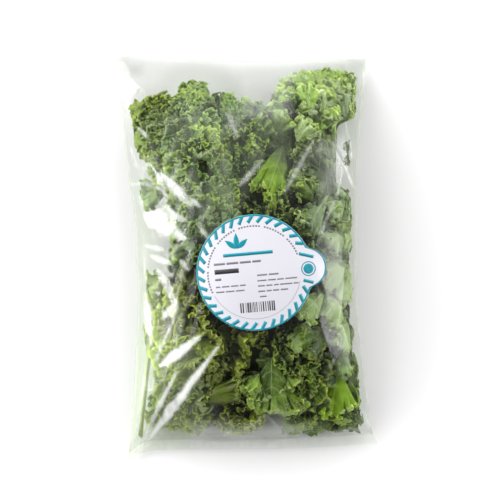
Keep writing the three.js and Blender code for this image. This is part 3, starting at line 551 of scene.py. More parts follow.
def soft_clip(z, lo, hi, k_lo=1.2, k_hi=2.0):
    """Keeps z between the films. Layers that would pass a film close up against it in order, and stay apart."""
    z = hi - k_hi * np.logaddexp(0, (hi - z) / k_hi)
    z = lo + k_lo * np.logaddexp(0, (z - lo) / k_lo)
    mid = (lo + hi) / 2
    return np.where(hi - lo < 1.0, mid, np.clip(z, lo, hi))


TUCK = [0.15]


def squeeze(S, on_top=False):
    """Keeps a leaf's points inside the bag: drawn in at the folds and ends, and pressed flat against the films."""
    x, y, z = S[..., 0], S[..., 1], S[..., 2]
    r, s = sample(F_R, x, y), sample(F_S, x, y)
    # the leaves stop short of the right fold between its two clumps
    tuck = TUCK[0] * smooth(56, 72, y) * smooth(132, 122, y) * (s > 0)
    corner = smooth(118, 132, y) * (s > 0)
    lim, knee = 0.968 - tuck + 0.012 * corner, 0.87 - 1.25 * tuck
    over = np.maximum(np.abs(s) - knee, 0)
    s2 = np.where(np.abs(s) > knee, np.sign(s) * (knee + (lim - knee) * (1 - np.exp(-over / (lim - knee)))), s)
    r2 = np.where(r < 0.05, 0.030 + 0.020 * np.exp((r - 0.05) / 0.020), r)
    top = 0.986 + 0.006 * corner
    r2 = np.where(r > 0.95, top - (top - 0.95) * np.exp(-(r - 0.95) / (top - 0.95)), r2)
    # no leaf ends on a straight line
    wave = (0.5 + 0.5 * n_c(x / 6.5 + z / 7, y / 6.5) + 0.35 * n_d(x / 2.6, y / 2.6 + z / 5)) * (1 - 0.2 * corner)
    r2 = r2 + 0.020 * wave * smooth(0.075, 0.03, r2) - 0.016 * wave * smooth(0.93, 0.98, r2)
    s2 = s2 - np.sign(s2) * 0.030 * wave * smooth(0.88, 0.96, np.abs(s2))
    moved = (np.abs(s2 - s) > 1e-9) | (np.abs(r2 - r) > 1e-9)
    px, py = plan(np.clip(r2, 0, 1), np.clip(s2, -1, 1))
    x, y = np.where(moved, px, x), np.where(moved, py, y)
    lo, hi = sample(F_LOW, x, y) + 0.45, sample(F_TOP, x, y) - 0.45
    if not on_top:
        for cx, cy, cr in CLEAR:
            hi = hi - np.minimum(4.5, 0.4 * (hi - lo)) * smooth(cr + 3, cr - 3, np.hypot(x - cx, y - cy))
    return np.stack([x, y, soft_clip(z, lo, hi)], -1)


def unit(v):
    return v / np.maximum(np.linalg.norm(v, axis=-1, keepdims=True), 1e-9)


def lobes(base, out, spin, R, spread, pitch, bend, ruffle, waves, teeth, sub, nrho, nth, rng, wild=0.0, pucker=0.0):
    """Fan-shaped lobes that grow from base points, all on one grid size.

    out: direction in plan; pitch: how far it points up; spin: roll about out; waves: [(amp, wavelength, power, overhang)];
    teeth: (height, pitch) of the saw edge; sub: depth of the clefts between the lobe's own small lobes.
    Gives points (n, nrho, nth, 3), and the place on the lobe (n, nrho, nth, 3): along, across, edge.
    """
    n = len(base)
    o2 = unit(out)
    t2 = np.stack([-o2[:, 1], o2[:, 0], np.zeros(n)], -1)
    up = np.array([0.0, 0.0, 1.0])
    flat = np.concatenate([o2[:, :2], np.zeros((n, 1))], -1)
    cp, sp = np.cos(pitch)[:, None], np.sin(pitch)[:, None]
    o3 = flat * cp + up * sp
    n3 = up * cp - flat * sp
    cs, ss = np.cos(spin)[:, None], np.sin(spin)[:, None]
    t3 = t2 * cs + n3 * ss
    n3 = n3 * cs - t2 * ss
    rho = (0.07 + 0.93 * (1 - (1 - np.linspace(0, 1, nrho)) ** 1.25))[None, :, None]
    th01 = np.linspace(-1, 1, nth)[None, None, :]
    spread = spread[:, None, None]
    rim = R[:, None, None] * 2 * spread
    ph = rng.uniform(0, 2 * np.pi, (n, 12))[:, :, None, None]
    arc = (th01 + 1) / 2 * rim
    jit = 0.35 * np.sin(arc / rim * 9 + ph[:, 7])
    cuts = np.maximum(2, np.round(rim / 14))
    cleft = np.abs(np.sin(arc * np.pi / (rim / cuts) + 0.5 * np.sin(ph[:, 0] + arc / rim * 5)))
    shape = 1 + sub * (np.power(cleft, 0.7) - 0.6) + 0.10 * np.sin(arc / rim * 4.1 + ph[:, 10])
    shape = shape + wild * (0.6 * np.sin(arc / 5.2 + 2.2 * np.sin(arc / 11 + ph[:, 3]) + ph[:, 4]) + 0.4 * np.sin(arc / 2.6 + 1.8 * np.sin(arc / 6 + ph[:, 5]) + ph[:, 6]))
    saw = (arc / teeth[1] + jit + ph[:, 1]) % 1.0
    saw = np.where(saw < 0.62, saw / 0.62, (1 - saw) / 0.38)
    tall = 0.55 + 0.45 * np.sin(arc / teeth[1] * 1.7 + ph[:, 11])
    shape = shape + (teeth[0] / R)[:, None, None] * (saw - 0.5) * 2 * tall
    shape = shape * (1 - 0.25 * np.abs(th01) ** 3)
    shape = 1 + (shape - 1) * rho ** 2
    r = rho * R[:, None, None] * shape
    h = np.zeros_like(r)
    dth = np.zeros_like(r)
    for k, (amp, lam, power, over) in enumerate(waves):
        phase = 2 * np.pi * arc / lam + ph[:, 2 + k] + 0.8 * np.sin(arc / lam * 1.9 + ph[:, 6 + k])
        grow = rho ** power
        amp_k = amp * ruffle[:, None, None] * (0.7 + 0.6 * np.sin(arc / lam * 0.8 + ph[:, 9]) ** 2)
        h = h + amp_k * grow * np.sin(phase)
        dth = dth - over * lam * grow * np.sin(2 * phase) / np.maximum(r, 1.0)
    th = th01 * spread + np.clip(dth, -0.5, 0.5)
    if pucker:
        u_, v_ = r * np.cos(th) + ph[:, 0] * 20, r * np.sin(th) + ph[:, 1] * 20
        h = h + pucker * (1.6 * n_a(u_ / 8.5, v_ / 8.5) + 0.8 * n_b(u_ / 4.0, v_ / 4.0)) * smooth(0.05, 0.4, rho)
    be = bend[:, None, None]
    be = np.where(np.abs(be) < 1e-3, 1e-3, be)
    # the half on each side of the lobe's vein falls away a little
    h = h - 0.10 * np.abs(r * np.sin(th)) * np.sign(np.cos(ph[:, 8]) + 0.6)
    fwd = r * np.cos(th) * np.sin(be * rho) / (be * rho)
    rise = r * (1 - np.cos(be * rho)) / (be * rho) + h
    lat = r * np.sin(th)
    P = base[:, None, None, :] + fwd[..., None] * o3[:, None, None, :] + lat[..., None] * t3[:, None, None, :] + rise[..., None] * n3[:, None, None, :]
    rim_mm = (1 - rho) * R[:, None, None]
    place = np.stack([r * np.cos(th01 * spread) + 60, r * np.sin(th01 * spread), np.broadcast_to(np.clip(1 - rim_mm / 8, 0, 1), r.shape)], -1)
    return P, place


def closed_many(P, thick):
    """Closed sheets from grids P (n, a, b, 3)."""
    n, a, b = P.shape[:3]
    du, dv = np.gradient(P, axis=1), np.gradient(P, axis=2)
    nor = unit(np.cross(du, dv))
    top, low = P + nor * thick / 2, P - nor * thick / 2
    idx = np.arange(a * b).reshape(a, b)
    q = np.stack([idx[:-1, :-1], idx[1:, :-1], idx[1:, 1:], idx[:-1, 1:]], -1).reshape(-1, 4)
    ring = np.concatenate([idx[0, :], idx[1:, -1], idx[-1, -2::-1], idx[-2:0:-1, 0]])
    nxt = np.roll(ring, -1)
    rimq = np.stack([nxt, nxt + a * b, ring + a * b, ring], -1)
    one = np.concatenate([q, q[:, ::-1] + a * b, rimq])
    co = np.concatenate([top.reshape(n, a * b, 3), low.reshape(n, a * b, 3)], 1)
    quads = (one[None] + (np.arange(n) * 2 * a * b)[:, None, None]).reshape(-1, 4)
    return co.reshape(-1, 3), quads, nor


def lighten(ob, keep):
    """Fewer triangles where the surface is smooth."""
    ob.modifiers.new("lighten", "DECIMATE").ratio = keep
    me = bpy.data.meshes.new_from_object(ob.evaluated_get(bpy.context.evaluated_depsgraph_get()))
    ob.modifiers.clear()
    old, name = ob.data, ob.data.name
    ob.data = me
    bpy.data.meshes.remove(old)
    me.name = name


NEAR = 8.5     # lobes within this depth below the front film are on the fine grid
KEEP = 0.36    # share of a leaf's triangles that are kept
MOST = 62000   # and the most that a leaf may have


class Sheets:
    """The pieces of one leaf, gathered into one mesh with their attributes."""

    def __init__(self):
        self.co, self.quads, self.n = [], [], 0
        self.att = {"leaf": [], "face_up": [], "rib": [], "tone": [], "warm": []}

    def add(self, co, quads, **att):
        self.co.append(co)
        self.quads.append(quads + self.n)
        self.n += len(co)
        for k, v in att.items():
            v = np.asarray(v, float)
            self.att[k].append(v.reshape(-1, 3) if k == "leaf" else v.ravel())

    def add_lobes(self, P, place, thick, face, rib, tone, warm, on_top=False):
        """face: 1 where the leaf's upper face is on the sheet's upper side, for each lobe."""
        free = P[..., 2]
        P = squeeze(P, on_top)
        # painted light and shade: crests that the front film presses flat are painted paler and points that the back
        # film pushes up are painted darker, standing in for the shading of the flattened ruffles
        press_shade = 0.34 * np.tanh((free - P[..., 2]) / 2.6)
        # lobes that lie deep in the pile need fewer points
        n, a, b = P.shape[:3]
        near = (sample(F_TOP0, P[..., 0], P[..., 1]) - P[..., 2]).reshape(n, -1).min(1) < NEAR
        face, tone, warm = np.broadcast_to(face, n), np.broadcast_to(tone, n), np.broadcast_to(warm, n)
        rows, cols = np.unique(np.r_[np.arange(0, a, 2), a - 1]), np.unique(np.r_[np.arange(0, b, 2), b - 1])
        for pick, r_, c_ in ((near, np.arange(a), np.arange(b)), (~near, rows, cols)):
            if pick.any():
                cut = np.ix_(np.flatnonzero(pick), r_, c_)
                self.put_lobes(P[cut], place[cut], press_shade[cut], thick, face[pick], rib, tone[pick], warm[pick])

    def put_lobes(self, P, place, press_shade, thick, face, rib, tone, warm):
        n, a, b = P.shape[:3]
        m = a * b
        co, quads, nor = closed_many(P, thick)
        upish = np.mean(nor[..., 2].reshape(n, -1), 1) > 0
        first = np.where(upish, face, 1 - face)
        one = place.reshape(n, m, 3)
        far = np.linalg.norm(place[..., :2] - (60, 0), axis=-1)
        ribs = (rib * np.clip(1 - 0.85 * far / far.max(axis=(1, 2), keepdims=True), 0, 1)).reshape(n, m) + 0.1
        self.add(co, quads, leaf=np.concatenate([one, one], 1),
                 face_up=np.concatenate([np.repeat(first[:, None], m, 1), np.repeat(1 - first[:, None], m, 1)], 1),
                 rib=np.concatenate([ribs, ribs], 1), tone=tone[:, None] + np.tile(press_shade.reshape(n, m), (1, 2)), warm=np.repeat(warm[:, None], 2 * m, 1))

    def build(self, name):
        co = np.concatenate(self.co)
        # painted shade: the leaves are darkened with their depth from the nearest film, less so at the lower left, so
        # the inner leaves are darker than those that lie against the film; the other terms lighten or darken given
        # regions of the bag
        inside = np.minimum(sample(F_TOP0, co[:, 0], co[:, 1]) - co[:, 2], co[:, 2] - sample(F_LOW, co[:, 0], co[:, 1]))
        deep = 1.45 - 0.95 * smooth(-8, -28, co[:, 0]) * smooth(-55, -85, co[:, 1])
        self.att["tone"].append(np.concatenate(self.att["tone"]) - deep * smooth(4, 17, inside)
                                - 0.28 * smooth(-12, -32, co[:, 0]) * smooth(112, 130, co[:, 1]) + 0.52 * smooth(-8, -28, co[:, 0]) * smooth(-60, -85, co[:, 1])
                                + 0.48 * smooth(-28, -14, co[:, 0]) * smooth(48, 34, co[:, 0]) * smooth(46, 60, co[:, 1])
                                + 0.25 * smooth(-10, -24, co[:, 0]) * smooth(24, 40, co[:, 1]) * smooth(84, 68, co[:, 1])
                                + 0.3 * smooth(24, 38, co[:, 0]) * smooth(98, 112, co[:, 1])
                                + 0.16 * smooth(-30, -14, co[:, 0]) * smooth(64, 48, co[:, 0]) * smooth(-72, -90, co[:, 1]))
        del self.att["tone"][:-1]
        ob = new_mesh(name, co, np.concatenate(self.quads))
        for k, v in self.att.items():
            attribute(ob, k, "FLOAT_VECTOR" if k == "leaf" else "FLOAT", np.concatenate(v))
        lighten(ob, min(KEEP, MOST / (2 * len(ob.data.polygons))))
        return ob


def frill(sheets, edge_in, edge_out, face, tone, warm, ruffle, step, rng, on_top=False):
    """Small crimped lobes along the rims of big ones: edge_in and edge_out are rows of points (n, m, 3)."""
    b, o, pi_, R, f, t, w = [], [], [], [], [], [], []
    for i in range(len(edge_in)):
        run = np.concatenate([[0], np.cumsum(np.linalg.norm(np.diff(edge_out[i], axis=0), axis=1))])
        smooth_run = run * 0.5
        count = max(3, int(smooth_run[-1] / step))
        for k in range(count):
            if rng.uniform() < 0.12:
                continue
            j = int(np.clip(np.searchsorted(smooth_run, (k + rng.uniform(0.1, 0.9)) * smooth_run[-1] / count), 2, len(run) - 3))
            out = edge_out[i, j] - edge_in[i, j]
            out = out / (np.linalg.norm(out) + 1e-9)
            b.append(edge_in[i, j] * 0.75 + edge_out[i, j] * 0.25 + (0, 0, -0.3))
            yaw = rng.uniform(-0.7, 0.7)
            o.append([out[0] * math.cos(yaw) - out[1] * math.sin(yaw), out[0] * math.sin(yaw) + out[1] * math.cos(yaw), 0])
            pi_.append(math.asin(float(np.clip(out[2], -0.8, 0.8))) * 0.5 + rng.uniform(-0.6, 0.75) * min(1.2, ruffle[i]))
            R.append(rng.uniform(3.4, 6.2))
            f.append(face[i] if rng.uniform() > 0.3 else 1 - face[i])
            t.append(tone[i] + rng.uniform(-0.25, 0.35))
            w.append(min(1.0, warm[i] + rng.uniform(-0.1, 0.35)))
    n = len(b)
    P, place = lobes(np.array(b), np.array(o), rng.uniform(-0.6, 0.6, n), np.array(R), rng.uniform(0.95, 1.6, n), np.array(pi_), rng.uniform(-0.9, 0.9, n),
                     rng.uniform(0.7, 1.2, n), [(1.1, 8.0, 1.4, 0.03), (0.9, 3.3, 2.0, 0.10)], (0.6, 2.6), 0.16, 5, 18, rng)
    place[..., 2] *= 0.84
    sheets.add_lobes(P, place, 0.34, np.array(f, float), 0.3, np.array(t), np.array(w), on_top)


def make_leaf(name, level, half_width, petiole, midrib, curl, face_up, detail, seed, fans=1.0, back_share=0.3, tone0=0.0, warm0=0.3, bare=(2, 2), rib_scale=1.0):
    rng = np.random.RandomState(seed)
    nz = [Noise(seed * 17 + k) for k in range(8)]
    length = spline(midrib, 50)[2]
    nu = int(max(30, length / 1.9 * (0.6 + 0.4 * detail)))
    side_cols = int(max(6, half_width / 35 * 12 * detail + 3))
    P, D, length = spline(midrib, nu)
    u = np.linspace(0, 1, nu)[:, None]
    scale = min(1, half_width / 26) * rib_scale
    rib = (3.1 - 2.6 * u) * scale
    q = np.clip((u - petiole) / (1 - petiole), 0, 1)
    t = np.linspace(0, 1, side_cols + 1)[1:]
    outer = 1 - (1 - t) ** 1.2
    tj = np.concatenate([-outer[::-1], [0] * 5, outer])
    inner = np.array([-1, -0.55, 0, 0.55, 1])
    side = np.sign(np.concatenate([-np.ones(side_cols), inner, np.ones(side_cols)]))[None, :]
    side = np.where(side == 0, 1, side)
    body = np.power(np.sin(np.pi * np.power(q, 0.8)), 0.6)
    core = 0.62
    outline = 1 + 0.16 * nz[0](q * length / 22, side * 5.3) + 0.10 * nz[1](q * length / 9, side * 3.1)
    full = rib + 0.6 + np.maximum(half_width - rib, 1) * body * np.ones_like(outline)
    wide = rib + 0.6 + np.maximum(half_width * core - rib, 0.6) * body * outline
    across = np.where(tj[None, :] == 0, 0, np.sign(tj)[None, :] * (rib + (wide - rib) * np.abs(tj)[None, :]))
    across[:, side_cols:side_cols + 5] = rib * inner[None, :]
    v = np.clip(np.abs(across) / wide, 0, 1)
    blade = smooth(0.0, 0.12, q) * np.ones_like(v)
    side_dir = np.stack([D[:, 1], -D[:, 0]], 1)
    xy = P[:, None, :] + side_dir[:, None, :] * across[..., None]
    room = np.clip((sample(F_TOP0, xy[..., 0], xy[..., 1]) - sample(F_LOW, xy[..., 0], xy[..., 1])) / 40, 0.15, 1)
    z = level_z(level, xy[..., 0], xy[..., 1])
    wscale = np.clip((wide / (half_width * core)), 0.15, 1) * blade
    along = q * length * (1 - petiole)
    S = np.concatenate([xy, z[..., None]], -1)
    S[..., 2] += 1.5 * nz[3](xy[..., 0] / 24, xy[..., 1] / 24) - 1.5 * v * room
    lam, amp = (30.0, 12.0), (2.0 + 3.0 * curl, 0.8 + 1.6 * curl)
    for k in range(2):
        g = smooth(0.2, 1.0, v) * wscale * (0.35 + 0.65 * room)
        phase = 2 * np.pi * (along / lam[k] + 0.45 * nz[4](along / lam[k] * 0.55 + 9 * k, side * 4 + k)) + side * (1.1 + k) + rng.uniform(0, 6)
        n, tg = surface_frame(S)
        n = n * np.where(n[..., 2:] < 0, -1, 1)
        S = S + n * (amp[k] * g * np.sin(phase))[..., None] - tg * (0.06 * lam[k] * g * np.sin(2 * phase))[..., None]
    n, _ = surface_frame(S)
    vein_k = (along - 0.75 * np.abs(across)) / 15
    pucker = (0.5 - np.abs(vein_k - np.round(vein_k))) * -1.4 + 0.8 * nz[6](along / 6, across / 6)
    S = S + n * (pucker * smooth(0.02, 0.2, v) * wscale * 0.7)[..., None]
    S[..., 2] -= 4.5 * max(0.0, 1 - rib_scale) + SINK.get(name, 0.0) * (1 - smooth(0.25, 0.6, u))
    S = squeeze(S)
    n, _ = surface_frame(S)
    n = n * (np.sign(np.sum(n[..., 2])) or 1)
    thick = 0.42
    section = np.sqrt(np.clip(1 - (across / np.maximum(rib, 0.1)) ** 2, 0, 1))
    stalk = section * rib
    up, down = (0.15, 1.25) if face_up else (1.05, 0.3)
    Ptop = S + n * (thick / 2 + up * stalk * 0.8)[..., None]
    Plow = S - n * (thick / 2 + down * stalk * 0.8)[..., None]
    hi, lo = sample(F_TOP, Ptop[..., 0], Ptop[..., 1]) - 0.25, sample(F_LOW, Plow[..., 0], Plow[..., 1]) + 0.25
    Ptop[..., 2] = np.minimum(Ptop[..., 2], hi)
    Plow[..., 2] = np.maximum(Plow[..., 2], lo)
    co, quads = closed_grid(Ptop, Plow)
    if np.cross(Ptop[1, 0] - Ptop[0, 0], Ptop[0, 1] - Ptop[0, 0])[2] > 0:
        quads = quads[:, ::-1]
    nb = Ptop.shape[0] * Ptop.shape[1]
    place = np.stack([np.broadcast_to(along, v.shape), across, v * blade * 0.8], -1).reshape(-1, 3)
    top_face = np.full(nb, 1.0 if face_up else 0.0)
    sheets = Sheets()
    ribs = np.broadcast_to(rib, v.shape).ravel()
    sheets.add(co, quads, leaf=np.concatenate([place, place]), face_up=np.concatenate([top_face, 1 - top_face]), rib=np.concatenate([ribs, ribs]),
               tone=np.full(2 * nb, tone0 - 0.25), warm=np.full(2 * nb, warm0))

    # lobes: rows of them along both sides, and one group at the tip
    mm_along = length * (1 - petiole)
    rows = []
    curly = curl > 0.6
    big = FRILL.get(name, 1.0)
    if curly:
        rows.append((0.60, 7.4, (8.5, 13.0), (0, 50), 40))
        rows.append((0.38, 8.8, (8.0, 11.5), (22, 78), 55))
        rows.append((0.16, 12.0, (7.5, 10.5), (42, 86), 80))
        if detail > 0.75:
            rows.append((0.0, 19.0, (7.0, 10.0), (50, 88), 180))
        rows = [(fr, st * big ** 1.5, (r0 * big, r1 * big), pr, yw) for fr, st, (r0, r1), pr, yw in rows]
        waves = [(1.6 * big, 17.0 * big, 1.4, 0.02), (1.9 * big, 5.0 * big, 2.2, 0.11), (0.6, 2.3 * big, 3.0, 0.08)]
        teeth, sub, nrho, nth, spread = (0.9, 3.1), 0.2, 6, 38, (1.2, 1.9)
        tip_n, tip_r = (15 if level >= 4 else 7), (5.5, 10.0)
    else:
        rows.append((0.46, 13.0, (0.50, 0.72), (-14, 18), 22))
        rows.append((0.2, 20.0, (0.42, 0.62), (0, 34), 40))
        waves = [(2.4, 30.0, 1.6, 0.02), (1.5 + 1.2 * curl, 11.0, 2.2, 0.05), (0.5 + 0.8 * curl, 4.6, 4.0, 0.07)]
        teeth, sub, nrho, nth, spread = (1.7, 5.0), 0.24, 10, 56, (0.85, 1.25)
        tip_n, tip_r = 4, (0.5, 0.75)
    nth = int(nth * (0.55 + 0.45 * detail))
    b_, o_, R_, pit, yaw, cl = [], [], [], [], [], []

    def at(qq, sd, frac):
        uu = petiole + qq * (1 - petiole)
        i = uu * (nu - 1)
        i0 = int(min(nu - 2, math.floor(i)))
        f = i - i0
        p = P[i0] * (1 - f) + P[i0 + 1] * f
        d = D[i0] * (1 - f) + D[i0 + 1] * f
        w = float(np.interp(uu, u[:, 0], full[:, 0]))
        sdv = np.array([d[1], -d[0]]) * sd
        return p + sdv * w * frac, d, sdv, w

    for frac, step, Rr, pr, yw in rows:
        count = max(2, int(mm_along / step * fans))
        for sd in ((-1, 1) if frac > 0 else (1,)):
            for i in range(count):
                qq = (i + 0.5 + rng.uniform(-0.35, 0.35)) / count * 0.93 + 0.03
                if frac < 0.2 and bare[0] < qq < bare[1]:
                    continue
                bb, d, sdv, w = at(qq, sd, frac * rng.uniform(0.8, 1.15))
                ang = math.radians(22 if curly else 38) + math.radians(rng.uniform(-yw, yw))
                direction = sdv * math.cos(ang) + d * math.sin(ang)
                r = rng.uniform(*Rr)
                if curly:
                    r = r * min(1.0, 0.5 + w / half_width * 0.55) * min(1, half_width / 24 + 0.1)
                else:
                    r = r * w
                b_.append([bb[0], bb[1]]); o_.append([direction[0], direction[1], 0]); R_.append(max(3.0, r))
                pit.append(math.radians(rng.uniform(*pr))); yaw.append(math.radians(rng.uniform(-30, 30)))
    for i in range(tip_n):
        bb, d, sdv, w = at(0.84 + 0.13 * rng.uniform(), 1, rng.uniform(-0.5, 0.5) if curly else rng.uniform(-0.3, 0.3))
        ang = (i - (tip_n - 1) / 2) * (2.1 / tip_n) + rng.uniform(-0.2, 0.2)
        direction = d * math.cos(ang) + sdv * math.sin(ang)
        r = rng.uniform(*tip_r) * (1 if curly else half_width)
        b_.append([bb[0], bb[1]]); o_.append([direction[0], direction[1], 0]); R_.append(r * 0.85)
        pit.append(math.radians(rng.uniform(0, 75) if curly else rng.uniform(-5, 30))); yaw.append(math.radians(rng.uniform(-20, 20)))
    b_, o_, R_ = np.array(b_), np.array(o_), np.array(R_)
    n_l = len(R_)
    drop = 0.8 if curly else -1.0 if name in FRILLED or level < 6 else -4.5
    bz = level_z(level, b_[:, 0], b_[:, 1]) + drop + rng.uniform(-1.6, 1.8, n_l)
    roomb = np.clip((sample(F_TOP0, b_[:, 0], b_[:, 1]) - sample(F_LOW, b_[:, 0], b_[:, 1])) / 30, 0.1, 1)
    pit = np.array(pit)
    for cx, cy, cr in CLEAR:
        inside = np.hypot(b_[:, 0] - cx, b_[:, 1] - cy) < cr + 3
        pit = np.where(inside, np.minimum(pit, 0.1), pit)
    base = np.concatenate([b_, bz[:, None]], -1)
    LP, lplace = lobes(base, o_, np.array(yaw) * roomb, R_, rng.uniform(spread[0], spread[1], n_l), np.array(pit) * roomb, rng.uniform(-0.9, 0.7, n_l),
                       rng.uniform(0.75, 1.2, n_l), waves, teeth, sub, nrho, nth, rng)
    row_edges = (LP[:, -3].copy(), LP[:, -1].copy())
    # the broad leaves show more of their upper faces at the top of the bag
    flip = rng.uniform(size=n_l) < np.where((b_[:, 1] > 105) & (not face_up) & (level > 4), 0.7, back_share)
    face = np.where(flip, 1.0 - face_up, float(face_up))
    group = nz[5](b_[:, 0] / 21, b_[:, 1] / 21)
    tone = tone0 + 0.42 * rng.uniform(-1, 1, n_l) + 0.6 * group - (0 if curly else 0.15)
    warm = np.clip(warm0 + 0.22 * rng.uniform(-1, 1, n_l) + 0.55 * nz[7](b_[:, 0] / 26 + 7, b_[:, 1] / 26), 0, 1)
    sheets.add_lobes(LP, lplace, 0.36, face, 0.35 if curly else 0.7, tone, warm)
    if name in FRILLED:
        frill(sheets, *row_edges, face, tone, warm, np.full(n_l, 1.0), 6.5, rng)

    # the big lobes that lie under the front film
    own = [row for row in LOBES if row[0] == name]
    if own:
        b0, b1 = np.array([row[1] for row in own]), np.array([row[2] for row in own])
        width, under, fc, tn, wm, rf = (np.array([row[k] for row in own], float) for k in (3, 4, 5, 6, 7, 8))
        zb = level_z(level, b0[:, 0], b0[:, 1]) - 0.5
        zt = sample(F_TOP, b1[:, 0], b1[:, 1]) - under
        flat = np.linalg.norm(b1 - b0, axis=1)
        R = np.hypot(flat, zt - zb)
        pitch = np.arcsin(np.clip((zt - zb) / R, -0.3, 0.95))
        bend = -0.55 * np.ones(len(own)) * np.clip(pitch / 0.5, 0.2, 1.2)
        half = np.clip(np.arcsin(np.clip(width / (1.75 * R), 0.1, 0.99)) * 1.12, 0.3, 1.35)
        base = np.concatenate([b0, zb[:, None]], -1)
        o = np.concatenate([b1 - b0, np.zeros((len(own), 1))], -1)
        w2 = [(2.4, 26.0, 2.4, 0.03), (2.2, 9.5, 4.0, 0.09), (1.0, 4.2, 5.0, 0.12)]
        HP, hplace = lobes(base, o, rng.uniform(-0.12, 0.12, len(own)), R * 1.02, half, pitch - 0.5 * bend, bend, rf, w2, (1.6, 4.0), 0.06, 20, 92, rng, 0.15, 1.25)
        edge_in, edge_out = HP[:, -3].copy(), HP[:, -1].copy()
        sheets.add_lobes(HP, hplace, 0.4, fc, 0.35, tn, wm, True)
        frill(sheets, edge_in, edge_out, fc, tn, wm, rf, 4.6, rng, True)
    ob = sheets.build(name + "_leaf")
    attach(ob, "root")
    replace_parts(ob, name)
    return ob


# ---------------------------------------------------------------- node material helper
class Nodes:
    def __init__(self, name):
        self.mat = bpy.data.materials.new(name)
        self.mat.use_nodes = True
        self.t = self.mat.node_tree
        self.t.nodes.clear()
        self.out = self.t.nodes.new("ShaderNodeOutputMaterial")

    def put(self, socket, value):
        if isinstance(value, bpy.types.NodeSocket):
            self.t.links.new(value, socket)
        else:
            socket.default_value = value

    def node(self, kind, inputs=None, **props):
        n = self.t.nodes.new(kind)
        for k, v in props.items():
            setattr(n, k, v)
        for k, v in (inputs or {}).items():
            self.put(n.inputs[k], v)
        return n

    def math(self, op, a, b=0.0, c=0.0, clamp=False):
        return self.node("ShaderNodeMath", {0: a, 1: b, 2: c}, operation=op, use_clamp=clamp).outputs[0]

    def ramp(self, x, lo, hi, a=0.0, b=1.0):
        n = self.node("ShaderNodeMapRange", {"Value": x, "From Min": lo, "From Max": hi, "To Min": a, "To Max": b}, interpolation_type="SMOOTHSTEP")
        return n.outputs["Result"]

    def mix(self, f, a, b, kind="MIX"):
        n = self.node("ShaderNodeMix", data_type="RGBA", blend_type=kind)
        self.put(n.inputs[0], f)
        self.put(n.inputs[6], a)
        self.put(n.inputs[7], b)
        return n.outputs[2]

    def noise(self, vector, scale, detail=2.0, rough=0.5, distortion=0.0):
        return self.node("ShaderNodeTexNoise", {"Vector": vector, "Scale": scale, "Detail": detail, "Roughness": rough, "Distortion": distortion}).outputs["Fac"]

    def attr(self, name):
        return self.node("ShaderNodeAttribute", attribute_type="GEOMETRY", attribute_name=name)


def lin(r, g, b):
    f = lambda c: c / 12.92 if c <= 0.04045 else ((c + 0.055) / 1.055) ** 2.4
    return (f(r / 255), f(g / 255), f(b / 255), 1.0)


LEAF_SETS = {
    # upper face, cool and warm: dark, mid, rim; vein; back: cool, warm; the back's vein. The rim colour is the paler
    # margin, made lighter still as painted light shining through the thin edge
    "curly": (lin(26, 46, 24), lin(58, 88, 42), lin(142, 168, 94), lin(60, 84, 22), lin(112, 142, 44), lin(192, 208, 104), lin(132, 152, 96), lin(122, 146, 108), lin(146, 168, 96), lin(170, 184, 146)),
    "bright": (lin(36, 58, 24), lin(72, 104, 44), lin(156, 180, 98), lin(72, 98, 24), lin(124, 156, 46), lin(200, 214, 108), lin(158, 176, 112), lin(128, 152, 108), lin(152, 174, 98), lin(182, 196, 150)),
    "pale": (lin(48, 74, 32), lin(92, 124, 54), lin(170, 188, 116), lin(76, 104, 26), lin(128, 160, 48), lin(204, 216, 118), lin(176, 192, 132), lin(128, 150, 112), lin(150, 172, 104), lin(196, 208, 164)),
    "stalk": (lin(84, 106, 50), lin(136, 156, 84), lin(172, 190, 112), lin(104, 128, 46), lin(156, 176, 76), lin(196, 208, 112), lin(196, 206, 146), lin(156, 174, 112), lin(170, 188, 108), lin(200, 210, 156)),
    "umber": (lin(26, 42, 22), lin(60, 84, 40), lin(140, 162, 84), lin(66, 80, 26), lin(112, 134, 46), lin(184, 198, 98), lin(138, 98, 84), lin(116, 130, 92), lin(140, 152, 84), lin(122, 100, 74)),
}


